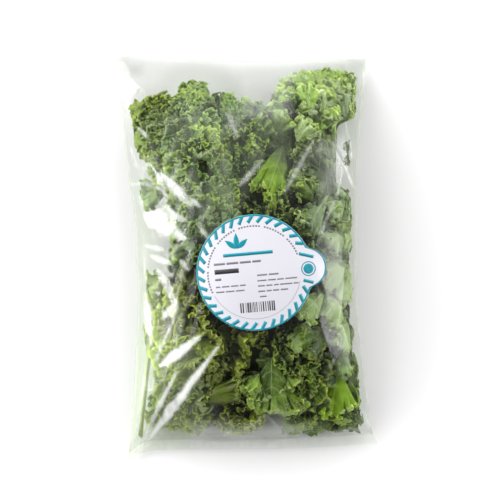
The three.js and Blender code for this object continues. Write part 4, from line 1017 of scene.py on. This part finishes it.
def leaf_material(kind):
    dark_c, mid_c, pale_lit_rim_c, dark_w, mid_w, pale_lit_rim_w, vein, back_c, back_w, back_vein = LEAF_SETS[kind]
    m = Nodes("leaf_" + kind)
    a = m.attr("leaf")
    sep = m.node("ShaderNodeSeparateXYZ", {0: a.outputs["Vector"]})
    along, across, edge = sep.outputs
    pos = m.node("ShaderNodeTexCoord").outputs["Object"]
    wob = m.noise(a.outputs["Vector"], 0.09, 2.0)
    big = m.noise(pos, 42.0, 3.0, 0.6)
    hue = m.noise(pos, 17.0, 2.0, 0.5)
    small = m.noise(pos, 260.0, 3.0, 0.6)
    off = m.math("ABSOLUTE", across)
    # side veins sweep forward from the midrib
    k = m.math("ADD", m.math("MULTIPLY_ADD", off, -0.75, along), m.math("MULTIPLY", m.math("SUBTRACT", wob, 0.5), 9.0))
    dist = m.math("PINGPONG", k, 7.5)
    vw = m.math("MULTIPLY_ADD", edge, -0.55, 0.95)
    v1 = m.math("SUBTRACT", 1.0, m.ramp(m.math("DIVIDE", dist, vw), 0.35, 1.25), clamp=True)
    rib = m.attr("rib").outputs["Fac"]
    mr = m.math("SUBTRACT", 1.0, m.ramp(m.math("DIVIDE", off, rib), 0.75, 1.25), clamp=True)
    net = m.node("ShaderNodeTexVoronoi", {"Vector": a.outputs["Vector"], "Scale": 0.26, "Randomness": 1.0}, feature="DISTANCE_TO_EDGE").outputs["Distance"]
    v2 = m.math("SUBTRACT", 1.0, m.ramp(net, 0.03, 0.13), clamp=True)
    veins = m.math("MAXIMUM", m.math("MULTIPLY", v1, 0.6), m.math("MAXIMUM", mr, m.math("MULTIPLY", v2, 0.28)))
    tone = m.attr("tone").outputs["Fac"]
    warm = m.math("ADD", m.attr("warm").outputs["Fac"], m.math("MULTIPLY", m.math("SUBTRACT", hue, 0.5), 1.1), clamp=True)
    dark, mid, rim = m.mix(warm, dark_c, dark_w), m.mix(warm, mid_c, mid_w), m.mix(warm, pale_lit_rim_c, pale_lit_rim_w)
    # painted light and shade: the tone attribute also moves deep lobes towards the dark colour and pressed crests
    # towards the mid colour
    level = m.math("MULTIPLY_ADD", tone, 0.22, big)
    # upper face
    base = m.mix(m.ramp(level, 0.28, 0.72), dark, mid)
    base = m.mix(m.math("MULTIPLY", m.ramp(small, 0.35, 0.75), 0.3), base, mid)
    # painted light: the rim band is lightened towards the rim colour, partly the leaf's paler margin and partly
    # standing in for light shining through the thin edge
    pale_lit_rim = m.math("MULTIPLY", m.ramp(m.math("ADD", edge, m.math("MULTIPLY", m.math("SUBTRACT", small, 0.5), 0.3)), 0.66, 1.02), 0.9)
    up = m.mix(pale_lit_rim, base, rim)
    up = m.mix(m.math("MULTIPLY", veins, 0.6), up, vein)
    # back
    bk = m.mix(m.math("MULTIPLY", m.ramp(level, 0.7, 0.2), 0.55), m.mix(warm, back_c, back_w), mid)
    bk = m.mix(m.math("MULTIPLY", pale_lit_rim, 0.4), bk, rim)
    bk = m.mix(m.math("MULTIPLY", veins, 0.7), bk, back_vein)
    col = m.mix(m.attr("face_up").outputs["Fac"], bk, up)
    # each lobe's own lightness, together with the painted shade of deep lobes and the painted light and shade of
    # flattened ruffles that the tone attribute carries
    gain = m.math("MULTIPLY_ADD", tone, 0.34, 0.79)
    hsv = m.node("ShaderNodeHueSaturation", {"Hue": 0.5, "Saturation": 1.04 if kind == "pale" else 1.14, "Value": gain, "Fac": 1.0, "Color": col})
    col = hsv.outputs[0]
    height = m.math("ADD", m.math("MULTIPLY", veins, 0.5), m.math("MULTIPLY", small, 0.35))
    bump = m.node("ShaderNodeBump", {"Height": height, "Strength": 0.35, "Distance": 0.0006}).outputs["Normal"]
    rough = m.ramp(m.math("ADD", small, m.math("MULTIPLY", veins, -0.2)), 0.2, 0.8, 0.42, 0.62)
    bsdf = m.node("ShaderNodeBsdfPrincipled", {"Base Color": col, "Roughness": rough, "Normal": bump, "Specular IOR Level": 0.3})
    m.t.links.new(bsdf.outputs[0], m.out.inputs[0])
    return m.mat


def film_material():
    m = Nodes("film")
    pos = m.node("ShaderNodeTexCoord").outputs["Object"]
    sep = m.node("ShaderNodeSeparateXYZ", {0: pos})
    stretch = m.node("ShaderNodeMapping", {"Vector": pos, "Scale": (1.0, 0.35, 1.0), "Rotation": (0, 0, 0.35)}).outputs[0]
    cloud = m.noise(stretch, 26.0, 3.0, 0.55)
    fine = m.noise(stretch, 160.0, 4.0, 0.6)
    X, Y = sep.outputs["X"], sep.outputs["Y"]
    # cloudy film: along the right side, over the upper middle and along the left fold
    right = m.math("MULTIPLY", m.ramp(X, 0.045, 0.105), m.ramp(Y, -0.09, -0.03))
    veil = m.math("MULTIPLY", m.ramp(m.node("ShaderNodeVectorMath", {0: pos, 1: (-0.026, 0.088, 0.05)}, operation="DISTANCE").outputs["Value"], 0.085, 0.02), m.ramp(cloud, 0.35, 0.65))
    left = m.math("MULTIPLY", m.ramp(X, -0.068, -0.095), m.ramp(Y, 0.1, 0.03))
    haze = m.math("MULTIPLY_ADD", right, 0.01, m.math("MULTIPLY", veil, 0.10))
    haze = m.math("ADD", m.math("MULTIPLY_ADD", left, 0.04, 0.001), haze)
    low_left = m.math("MULTIPLY", m.ramp(X, -0.03, -0.06), m.ramp(Y, -0.05, -0.08))
    haze = m.math("ADD", m.math("MULTIPLY_ADD", low_left, 0.05, haze), m.attr("pale").outputs["Fac"])
    haze = m.math("MULTIPLY", haze, m.ramp(fine, 0.1, 0.9, 0.6, 1.4))
    facing = m.node("ShaderNodeLayerWeight", {"Blend": 0.5}).outputs["Facing"]
    # where the film clings to damp leaf it hardly shines
    cling = 0.0
    for cx, cy, r0, r1 in ((-0.086, 0.124, 0.026, 0.040), (-0.044, 0.143, 0.030, 0.050), (0.076, 0.145, 0.028, 0.045), (0.070, -0.124, 0.030, 0.052), (0.004, -0.124, 0.022, 0.042), (0.090, 0.042, 0.012, 0.038)):
        near = m.ramp(m.node("ShaderNodeVectorMath", {0: m.node("ShaderNodeVectorMath", {0: pos, 1: (1, 1, 0)}, operation="MULTIPLY").outputs[0], 1: (cx, cy, 0)}, operation="DISTANCE").outputs["Value"], r1, r0)
        cling = m.math("MAXIMUM", near, cling)
    # on the left it shines only where it is drawn tight
    damp = m.math("MULTIPLY", m.ramp(X, -0.03, -0.055), m.math("MULTIPLY", m.ramp(Y, 0.115, 0.10), m.ramp(Y, -0.165, -0.15)))
    damp = m.math("MULTIPLY", damp, m.math("SUBTRACT", 1.0, m.attr("tight").outputs["Fac"], clamp=True))
    cling = m.math("MAXIMUM", m.math("MULTIPLY", damp, 0.72), cling)
    fres = m.math("MULTIPLY", m.math("MULTIPLY_ADD", m.math("POWER", facing, 5.0), 0.6, 0.029), m.math("MULTIPLY_ADD", cling, -0.9, 1.0))
    bump = m.node("ShaderNodeBump", {"Height": fine, "Strength": 0.02, "Distance": 0.0004}).outputs["Normal"]
    gloss = m.node("ShaderNodeBsdfGlossy", {"Color": (1, 1, 1, 1), "Roughness": 0.09, "Normal": bump})
    tint = m.mix(m.ramp(Y, 0.150, 0.176), (0.974, 0.979, 0.970, 1), (0.955, 0.960, 0.952, 1))
    clear = m.node("ShaderNodeBsdfTransparent", {"Color": tint})
    a = m.node("ShaderNodeMixShader", {0: fres, 1: clear.outputs[0], 2: gloss.outputs[0]})
    # painted highlight in part: the milk turns white where the film is whitened along its facets and folds
    crease = m.ramp(m.attr("pale").outputs["Fac"], 0.02, 0.10)
    milk = m.node("ShaderNodeBsdfDiffuse", {"Color": m.mix(crease, (0.76, 0.90, 0.62, 1), (0.93, 0.95, 0.92, 1))})
    b = m.node("ShaderNodeMixShader", {0: haze, 1: a.outputs[0], 2: milk.outputs[0]})
    m.t.links.new(b.outputs[0], m.out.inputs[0])
    return m.mat


def paper_material(name, color, rough=0.45):
    m = Nodes(name)
    pos = m.node("ShaderNodeTexCoord").outputs["Object"]
    n1, n2 = m.noise(pos, 900.0, 3.0, 0.6), m.noise(pos, 30.0, 2.0)
    tint = tuple(c * 0.94 for c in color[:3]) + (1.0,)
    col = m.mix(m.math("MULTIPLY", m.math("ADD", n1, n2), 0.35), color, tint)
    bump = m.node("ShaderNodeBump", {"Height": n1, "Strength": 0.08, "Distance": 0.0002}).outputs["Normal"]
    r = m.ramp(n1, 0.2, 0.8, rough - 0.06, rough + 0.06)
    bsdf = m.node("ShaderNodeBsdfPrincipled", {"Base Color": col, "Roughness": r, "Normal": bump, "Specular IOR Level": 0.4})
    m.t.links.new(bsdf.outputs[0], m.out.inputs[0])
    return m.mat


# ---------------------------------------------------------------- leaves
MATS = {k: leaf_material(k) for k in LEAF_SETS}
for i, (name, level, hw, pet, mid) in enumerate(LEAVES):
    curl, face_up, kind, detail, tone0, warm0, bare = LOOK[name]
    fans = 1.0 if detail >= 0.8 else 0.75 if detail >= 0.7 else 0.5
    ob = make_leaf(name, level, hw, pet, mid, curl, face_up, detail * (1.0), 101 + 7 * i, fans, 0.22, tone0, warm0, bare, RIB.get(name, 1.0))
    ob.data.materials.append(MATS[kind])
TUCK[0] = 0.0
for i, (name, level, hw, mid) in enumerate(SCRAPS):
    ob = make_leaf(name, level, hw, 0.02, mid, 0.5, 1, 0.8, 901 + 7 * i, 0.5, 0.2, 0.0, 0.5)
    ob.data.materials.append(MATS["bright"])

# ---------------------------------------------------------------- film
NS, NR = 148, 226
FILM = 0.12
s_top = np.sin(np.linspace(-1, 1, NS + 1) * np.pi / 2 * 0.97) / math.sin(np.pi / 2 * 0.97)
r_all = np.concatenate([np.linspace(0, SEAL_R, 5), SEAL_R + (1 - SEAL_R) * np.linspace(0, 1, NR + 1)[1:]])
k_in = 4  # the inside starts at this row, past the seal


def film_surface(r, s, up):
    R, Sg = np.meshgrid(r, s, indexing="ij")
    x, y = plan(R, Sg)
    t, b = sample(F_TOP, x, y), sample(F_LOW, x, y)
    exact_t, exact_b = top_z(R, Sg), bottom_z(R, Sg)
    edge = np.abs(Sg) > 0.985
    t, b = np.where(edge, exact_t, t), np.where(edge, exact_b, b)
    t = np.maximum(t, b + 0.5)
    seal = smooth(SEAL_R + 0.012, SEAL_R - 0.004, R)
    mid_z = exact_b + 0.35
    t, b = t * (1 - seal) + (mid_z + 0.12) * seal, b * (1 - seal) + (mid_z - 0.12) * seal
    return np.stack([x, y, t if up else b], -1)


def film_mesh():
    """Front and back film, outside and inside, with thickness. The back's lattice takes every second row and column."""
    ot, ob_ = film_surface(r_all, s_top, True), film_surface(r_all[::2], s_top[::2], False)
    it, ib = ot[k_in:].copy(), ob_[k_in // 2:].copy()
    it[..., 2] -= FILM
    ib[..., 2] += FILM
    low_fine = film_surface(r_all[k_in:], s_top, False)[..., 2]
    it[..., 2] = np.maximum(it[..., 2], low_fine + FILM + 0.04)
    it[..., 2] = np.minimum(it[..., 2], ot[k_in:][..., 2] - 0.04)
    for g in (it, ib):
        g[:, 0, 0] += 0.1
        g[:, -1, 0] -= 0.1
    grids = [ot, ob_, it, ib]
    ids, base = [], 0
    for g in grids:
        m = g.shape[0] * g.shape[1]
        ids.append(np.arange(m).reshape(g.shape[:2]) + base)
        base += m
    co = np.concatenate([g.reshape(-1, 3) for g in grids])
    A, B_, C, D = ids
    quads, tris = [], []

    def grid(G, flip):
        q = np.stack([G[:-1, :-1], G[:-1, 1:], G[1:, 1:], G[1:, :-1]], -1).reshape(-1, 4)
        quads.append(q[:, ::-1] if flip else q)

    def strip(p, q_, flip=False):
        q = np.stack([p[:-1], p[1:], q_[1:], q_[:-1]], -1)
        quads.append(q[:, ::-1] if flip else q)

    def stitch(fine, coarse, flip=False):
        a0, a1, a2, c0, c1 = fine[:-2:2], fine[1::2], fine[2::2], coarse[:-1], coarse[1:]
        t = np.concatenate([np.stack([a0, a1, c0], -1), np.stack([a1, a2, c1], -1), np.stack([a1, c1, c0], -1)])
        tris.append(t[:, ::-1] if flip else t)

    grid(A, False)
    grid(B_, True)
    grid(C, True)
    grid(D, False)
    stitch(A[0, :], B_[0, :], True)     # lower edge of the seal
    stitch(A[:, 0], B_[:, 0], False)    # left fold
    stitch(A[:, -1], B_[:, -1], True)   # right fold
    stitch(C[0, :], D[0, :], False)     # inside of the seal
    stitch(C[:, 0], D[:, 0], True)
    stitch(C[:, -1], D[:, -1], False)
    strip(A[-1, :], C[-1, :], False)    # the mouth's two lips
    strip(B_[-1, :], D[-1, :], True)
    # the lips' corners
    quads.append(np.array([[A[-1, 0], C[-1, 0], D[-1, 0], B_[-1, 0]], [A[-1, -1], B_[-1, -1], D[-1, -1], C[-1, -1]]]))
    return co, np.concatenate(quads), np.concatenate(tris)


co, quads, tris = film_mesh()
film = new_mesh("bag_film_skin", co, quads, tris=tris)
# the film is whitened along its facets and folds, partly as a painted highlight of the strip light's reflection; the
# seal and the two long folds are whitened too
fr, fs = unplan(co[:, 0], co[:, 1])
front = smooth(0.3, 0.7, (co[:, 2] - sample(F_LOW, co[:, 0], co[:, 1])) / np.maximum(sample(F_TOP, co[:, 0], co[:, 1]) - sample(F_LOW, co[:, 0], co[:, 1]), 0.5))
pale = sample(F_WHITE_AND_GLINT, co[:, 0], co[:, 1]) * front
pale = np.maximum(pale, 0.05 * smooth(0.975, 0.99, np.abs(fs)))
pale = np.maximum(pale, front * 0.14 * smooth(0.085, 0.04, fr) * smooth(80, 40, np.abs(co[:, 0] - 5)) * (0.7 + 0.6 * n_b(co[:, 0] / 15, co[:, 1] / 6)) + 0.03 * smooth(SEAL_R + 0.006, SEAL_R, fr))
attribute(film, "pale", "FLOAT", pale)
attribute(film, "tight", "FLOAT", sample(F_HOLD, co[:, 0], co[:, 1]) * front)
film.data.materials.append(film_material())
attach(film, "root")
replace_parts(film, "bag_film")

# ---------------------------------------------------------------- sticker
LIFT = 0.16


def label_z(x, y):
    return sample(F_TOP, x, y) + LIFT


def drape(x, y, lift):
    return np.stack([x, y, label_z(x, y) + lift], -1)


def label_outline(a, grow=0.0, fillet=5.0):
    """Radius of the sticker's outline at angle a: a disc and a tab, with a small fillet between them."""
    dx, dy = TAB_C[0] - LABEL_C[0], TAB_C[1] - LABEL_C[1]
    r1, r2 = LABEL_R + grow, TAB_R + grow
    al = dx * np.cos(a) + dy * np.sin(a)
    off = dx * dx + dy * dy - al * al
    tab = np.where((al > 0) & (off < r2 * r2), al + np.sqrt(np.maximum(r2 * r2 - off, 0)), 0)
    k = 1.6
    return k * np.log(np.exp(r1 / k) + np.exp(np.where(tab > 0, tab, 0) / k))


angles = np.linspace(0, 2 * np.pi, 241)[:-1]
rings = np.linspace(0, 1, 31)[1:]
rad = label_outline(angles)
px = LABEL_C[0] + rings[:, None] * rad[None, :] * np.cos(angles)[None, :]
py = LABEL_C[1] + rings[:, None] * rad[None, :] * np.sin(angles)[None, :]
topg, lowg = drape(px, py, 0.13), drape(px, py, 0.0)
centre = drape(np.array([LABEL_C[0]]), np.array([LABEL_C[1]]), 0.13)
centre_low = drape(np.array([LABEL_C[0]]), np.array([LABEL_C[1]]), 0.0)
nr_, na_ = px.shape
co = np.concatenate([topg.reshape(-1, 3), lowg.reshape(-1, 3), centre, centre_low])
I = np.arange(nr_ * na_).reshape(nr_, na_)
J = np.roll(I, -1, axis=1)
q_top = np.stack([I[:-1], I[1:], J[1:], J[:-1]], -1).reshape(-1, 4)
q_low = q_top[:, ::-1] + nr_ * na_
q_rim = np.stack([I[-1], I[-1] + nr_ * na_, J[-1] + nr_ * na_, J[-1]], -1)
c0, c1 = 2 * nr_ * na_, 2 * nr_ * na_ + 1
t_top_ = np.stack([np.full(na_, c0), I[0], J[0]], -1)
t_low_ = np.stack([np.full(na_, c1), J[0] + nr_ * na_, I[0] + nr_ * na_], -1)
label = new_mesh("label_paper", co, np.concatenate([q_top, q_low, q_rim]), tris=np.concatenate([t_top_, t_low_]))
label.data.materials.append(paper_material("label_paper", lin(214, 213, 221), 0.5))
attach(label, "root")
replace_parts(label, "label_sticker")


def decal(name, patches, mat, lift=0.17, thick=0.05):
    """patches: grids of (x, y) points, each draped on the sticker as thin ink."""
    cos, qs, base = [], [], 0
    for x, y in patches:
        a, b = drape(x, y, lift), drape(x, y, lift - thick)
        c, q = closed_grid(a, b)
        area = np.cross(a[1, 0] - a[0, 0], a[0, 1] - a[0, 0])[2]
        if area > 0:
            q = q[:, ::-1]
        cos.append(c)
        qs.append(q + base)
        base += len(c)
    ob = new_mesh(name, np.concatenate(cos), np.concatenate(qs))
    ob.data.materials.append(mat)
    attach(ob, "root")
    return ob


TILT = math.radians(5.0)


def local(x, y):
    """Sticker coordinates, with the tab's axis as x, to the bag's plan."""
    c, s = math.cos(TILT), math.sin(TILT)
    return LABEL_C[0] + x * c - y * s, LABEL_C[1] + x * s + y * c


def bar(x0, y0, x1, y1, w, n=10):
    """A bar from one point to another, in sticker coordinates."""
    n = max(n, int(math.hypot(x1 - x0, y1 - y0) / 1.2))
    t = np.linspace(0, 1, n)[:, None]
    d = np.array([x1 - x0, y1 - y0]) / math.hypot(x1 - x0, y1 - y0)
    o = np.array([-0.5, 0.5])[None, :] * w
    x = x0 + (x1 - x0) * t - d[1] * o
    y = y0 + (y1 - y0) * t + d[0] * o
    return local(x, y)


teal = paper_material("label_ink_teal", lin(10, 137, 153), 0.4)
grey = paper_material("label_ink_grey", lin(120, 118, 124), 0.5)
dark_ink = paper_material("label_ink_dark", lin(52, 50, 54), 0.5)

# rim line
aa = np.linspace(0, 2 * np.pi, 361)
patches = []
for i in range(0, 360, 30):
    a = aa[i:i + 31]
    ro, ri = label_outline(a) - 0.05, label_outline(a) - 1.65
    k = np.array([0.0, 0.5, 1.0])[:, None]
    rr = ri[None, :] * (1 - k) + ro[None, :] * k
    patches.append((LABEL_C[0] + rr * np.cos(a)[None, :], LABEL_C[1] + rr * np.sin(a)[None, :]))
# slanted ticks inside the rim
N_TICK = 35
for i in range(N_TICK):
    a = 2 * math.pi * (i + 0.5) / N_TICK
    if abs(math.atan2(math.sin(a), math.cos(a))) < math.radians(24):
        continue
    slant = math.radians(38) + a
    r0, r1 = LABEL_R - 1.0, LABEL_R - 7.4
    cx0, cy0 = r0 * math.cos(a), r0 * math.sin(a)
    lean = math.tan(math.radians(34)) * (r0 - r1)
    cx1 = r1 * math.cos(a) - lean * math.sin(a)
    cy1 = r1 * math.sin(a) + lean * math.cos(a)
    patches.append(bar(cx1, cy1, cx0, cy0, 3.2, 6))
# bars across the tab
tx = math.hypot(TAB_C[0] - LABEL_C[0], TAB_C[1] - LABEL_C[1])
for y0, x0, y1, x1 in ((13.6, 41.5, 9.6, 54.5), (-10.6, 43.5, -13.6, 52.5)):
    patches.append(bar(x0, y0, x1, y1, 2.9, 6))
# plain disc on the tab
ang = np.linspace(0, 2 * np.pi, 41)
k = np.linspace(0.02, 1, 5)[:, None]
patches.append(local(tx + 0.8 + 4.6 * k * np.cos(ang)[None, :], -0.6 + 4.6 * k * np.sin(ang)[None, :]))
k = np.linspace(5.7, 6.7, 3)[:, None]
for h in (0, 20):
    patches.append(local(tx + 0.8 + k * np.cos(ang[h:h + 21])[None, :], -0.6 + k * np.sin(ang[h:h + 21])[None, :]))
decal("label_print_teal", patches, teal)
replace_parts(bpy.data.objects["label_print_teal"], "label_sticker")

# plain leaf motif and rows of plain rules
def blade_shape(cx, cy, ang0, ln, wd):
    t = np.linspace(0, 1, 14)[None, :]
    o = np.linspace(-1, 1, 5)[:, None]
    x = t * ln + 0 * o
    y = o * wd * np.sin(np.pi * np.clip(t, 0.01, 0.99)) ** 0.9 * (1 - 0.35 * t)
    c, s = math.cos(ang0), math.sin(ang0)
    return local(cx + x * c - y * s, cy + x * s + y * c)


motif = [blade_shape(-14, 23.0, math.radians(a), ln, wd) for a, ln, wd in ((38, 13, 2.9), (90, 14, 3.0), (142, 13, 2.9))]
motif.append(bar(-27, 17.5, 18, 17.5, 3.0, 8))
ob = decal("label_print_motif", motif, teal)
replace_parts(ob, "label_sticker")
rules_dark = [bar(-36, 3.2, -14, 3.2, 4.2, 8)]
rules = []
rng = np.random.RandomState(8)
for y, x0, x1, w in ((10.2, -36, 8, 2.0), (-3.6, -36, -29, 2.0), (-10.4, -36, -9, 1.3), (-15.0, -36, -8, 1.3),
                     (-2.6, 2, 22, 1.5), (-7.6, 2, 40, 1.3), (-12.4, 2, 39, 1.3), (-17.2, 2, 29, 1.4), (-22.0, 3, 9, 1.3)):
    x = x0
    while x < x1 - 2:
        run = min(rng.uniform(4, 11), x1 - x)
        rules.append(bar(x, y, x + run, y, w, 5))
        x += run + 1.3
# short marks round the inside of the rim, and a hairline below them
for i in range(52):
    a = math.radians(18 + i * 3.55)
    if i % 9 == 7:
        continue
    r_m = LABEL_R - 10.4
    rules.append(bar(r_m * math.cos(a) , r_m * math.sin(a), r_m * math.cos(a + 0.04), r_m * math.sin(a + 0.04), 1.5, 3))
for a0 in range(205, 345, 10):
    aa_ = np.radians(np.linspace(a0, a0 + 10, 7))
    kk = np.array([[LABEL_R - 10.9], [LABEL_R - 10.6]])
    rules.append(local(kk * np.cos(aa_)[None, :], kk * np.sin(aa_)[None, :]))
rng = np.random.RandomState(5)
x = -15.0
while x < 15.5:
    w = rng.choice([0.45, 0.8, 1.2])
    rules_dark.append(bar(x, -26.5, x, -35.5, w, 4))
    x += w + rng.choice([0.55, 0.9, 1.3])
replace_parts(decal("label_print_rules", rules, grey), "label_sticker")
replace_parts(decal("label_print_bars", rules_dark, dark_ink), "label_sticker")

# ---------------------------------------------------------------- floor, light and camera
floor_me = bpy.data.meshes.new("floor")
S_ = 6.0
floor_me.from_pydata([(-S_, -S_, 0), (S_, -S_, 0), (S_, S_, 0), (-S_, S_, 0)], [], [(0, 1, 2, 3)])
floor = bpy.data.objects.new("floor", floor_me)
floor.location.z = -0.0006
bpy.context.scene.collection.objects.link(floor)
fm = Nodes("floor_white")
fpos = fm.node("ShaderNodeTexCoord").outputs["Object"]
fcol = fm.mix(fm.noise(fpos, 3.0, 2.0), (0.965, 0.965, 0.965, 1), (0.98, 0.98, 0.98, 1))
fb = fm.node("ShaderNodeBsdfPrincipled", {"Base Color": fcol, "Roughness": 0.85, "Specular IOR Level": 0.2})
fm.t.links.new(fb.outputs[0], fm.out.inputs[0])
floor_me.materials.append(fm.mat)


def area(name, loc, target, size, size_y, power, color=(1, 1, 1)):
    li = bpy.data.lights.new(name, "AREA")
    li.shape = "RECTANGLE"
    li.size, li.size_y, li.energy, li.color = size, size_y, power, color
    o = bpy.data.objects.new(name, li)
    bpy.context.scene.collection.objects.link(o)
    from mathutils import Vector
    d = Vector(target) - Vector(loc)
    o.location = loc
    o.rotation_mode = "QUATERNION"
    o.rotation_quaternion = d.to_track_quat("-Z", "Y")
    return o


def at_angle(el, az, dist=1.5):
    el, az = math.radians(el), math.radians(az)
    return (dist * math.cos(el) * math.cos(az), dist * math.cos(el) * math.sin(az), dist * math.sin(el))


# a wide soft box, and a strip box in front of it for the film's edges
area("key", at_angle(28, 168, 1.6), (0, 0, 0.03), 2.0, 1.1, 15.5)
area("strip", at_angle(24, 168, 1.45), (0, 0, 0.03), 1.6, 0.2, 8.5)

world = bpy.data.worlds.new("studio")
bpy.context.scene.world = world
world.use_nodes = True
wt = world.node_tree
wt.nodes.clear()
wo = wt.nodes.new("ShaderNodeOutputWorld")
bg = wt.nodes.new("ShaderNodeBackground")
tc = wt.nodes.new("ShaderNodeTexCoord")
sx = wt.nodes.new("ShaderNodeSeparateXYZ")
wt.links.new(tc.outputs["Generated"], sx.inputs[0])
mr_ = wt.nodes.new("ShaderNodeMapRange")
mr_.interpolation_type = "SMOOTHSTEP"
mr_.inputs["From Min"].default_value = 0.32
mr_.inputs["From Max"].default_value = 0.8
mr_.inputs["To Min"].default_value = 5.6
mr_.inputs["To Max"].default_value = 0.24
wt.links.new(sx.outputs["Z"], mr_.inputs["Value"])
# brighter on the side across from the key
dot = wt.nodes.new("ShaderNodeVectorMath")
dot.operation = "DOT_PRODUCT"
wt.links.new(tc.outputs["Generated"], dot.inputs[0])
dot.inputs[1].default_value = (1.0, 0.0, 0.0)
mr2 = wt.nodes.new("ShaderNodeMapRange")
mr2.inputs["From Min"].default_value, mr2.inputs["From Max"].default_value = -1.0, 1.0
mr2.inputs["To Min"].default_value, mr2.inputs["To Max"].default_value = 0.5, 0.98
wt.links.new(dot.outputs["Value"], mr2.inputs["Value"])
mul = wt.nodes.new("ShaderNodeMath")
mul.operation = "MULTIPLY"
wt.links.new(mr_.outputs["Result"], mul.inputs[0])
wt.links.new(mr2.outputs["Result"], mul.inputs[1])
# and dim past the sealed end
mr3 = wt.nodes.new("ShaderNodeMapRange")
mr3.inputs["From Min"].default_value, mr3.inputs["From Max"].default_value = -0.6, 0.1
mr3.inputs["To Min"].default_value, mr3.inputs["To Max"].default_value = 0.15, 1.0
wt.links.new(sx.outputs["Y"], mr3.inputs["Value"])
mul2 = wt.nodes.new("ShaderNodeMath")
mul2.operation = "MULTIPLY"
wt.links.new(mul.outputs[0], mul2.inputs[0])
wt.links.new(mr3.outputs["Result"], mul2.inputs[1])
wt.links.new(mul2.outputs[0], bg.inputs["Strength"])
bg.inputs["Color"].default_value = (1, 1, 1, 1)
wt.links.new(bg.outputs[0], wo.inputs[0])

cam_data = bpy.data.cameras.new("camera")
cam = bpy.data.objects.new("camera", cam_data)
bpy.context.scene.collection.objects.link(cam)
HEIGHT = 2.6
cam.location = (0.0032, 0.0083, 0.012 + HEIGHT)
cam.rotation_euler = (0, 0, 0)
cam_data.sensor_width = 36
cam_data.lens = 36 * HEIGHT / (500 * 0.92 * MM)
cam_data.clip_start, cam_data.clip_end = 0.05, 50
bpy.context.scene.camera = cam
vs = bpy.context.scene.view_settings
vs.view_transform = "Standard"
vs.look = "None"
vs.exposure, vs.gamma = 0, 1
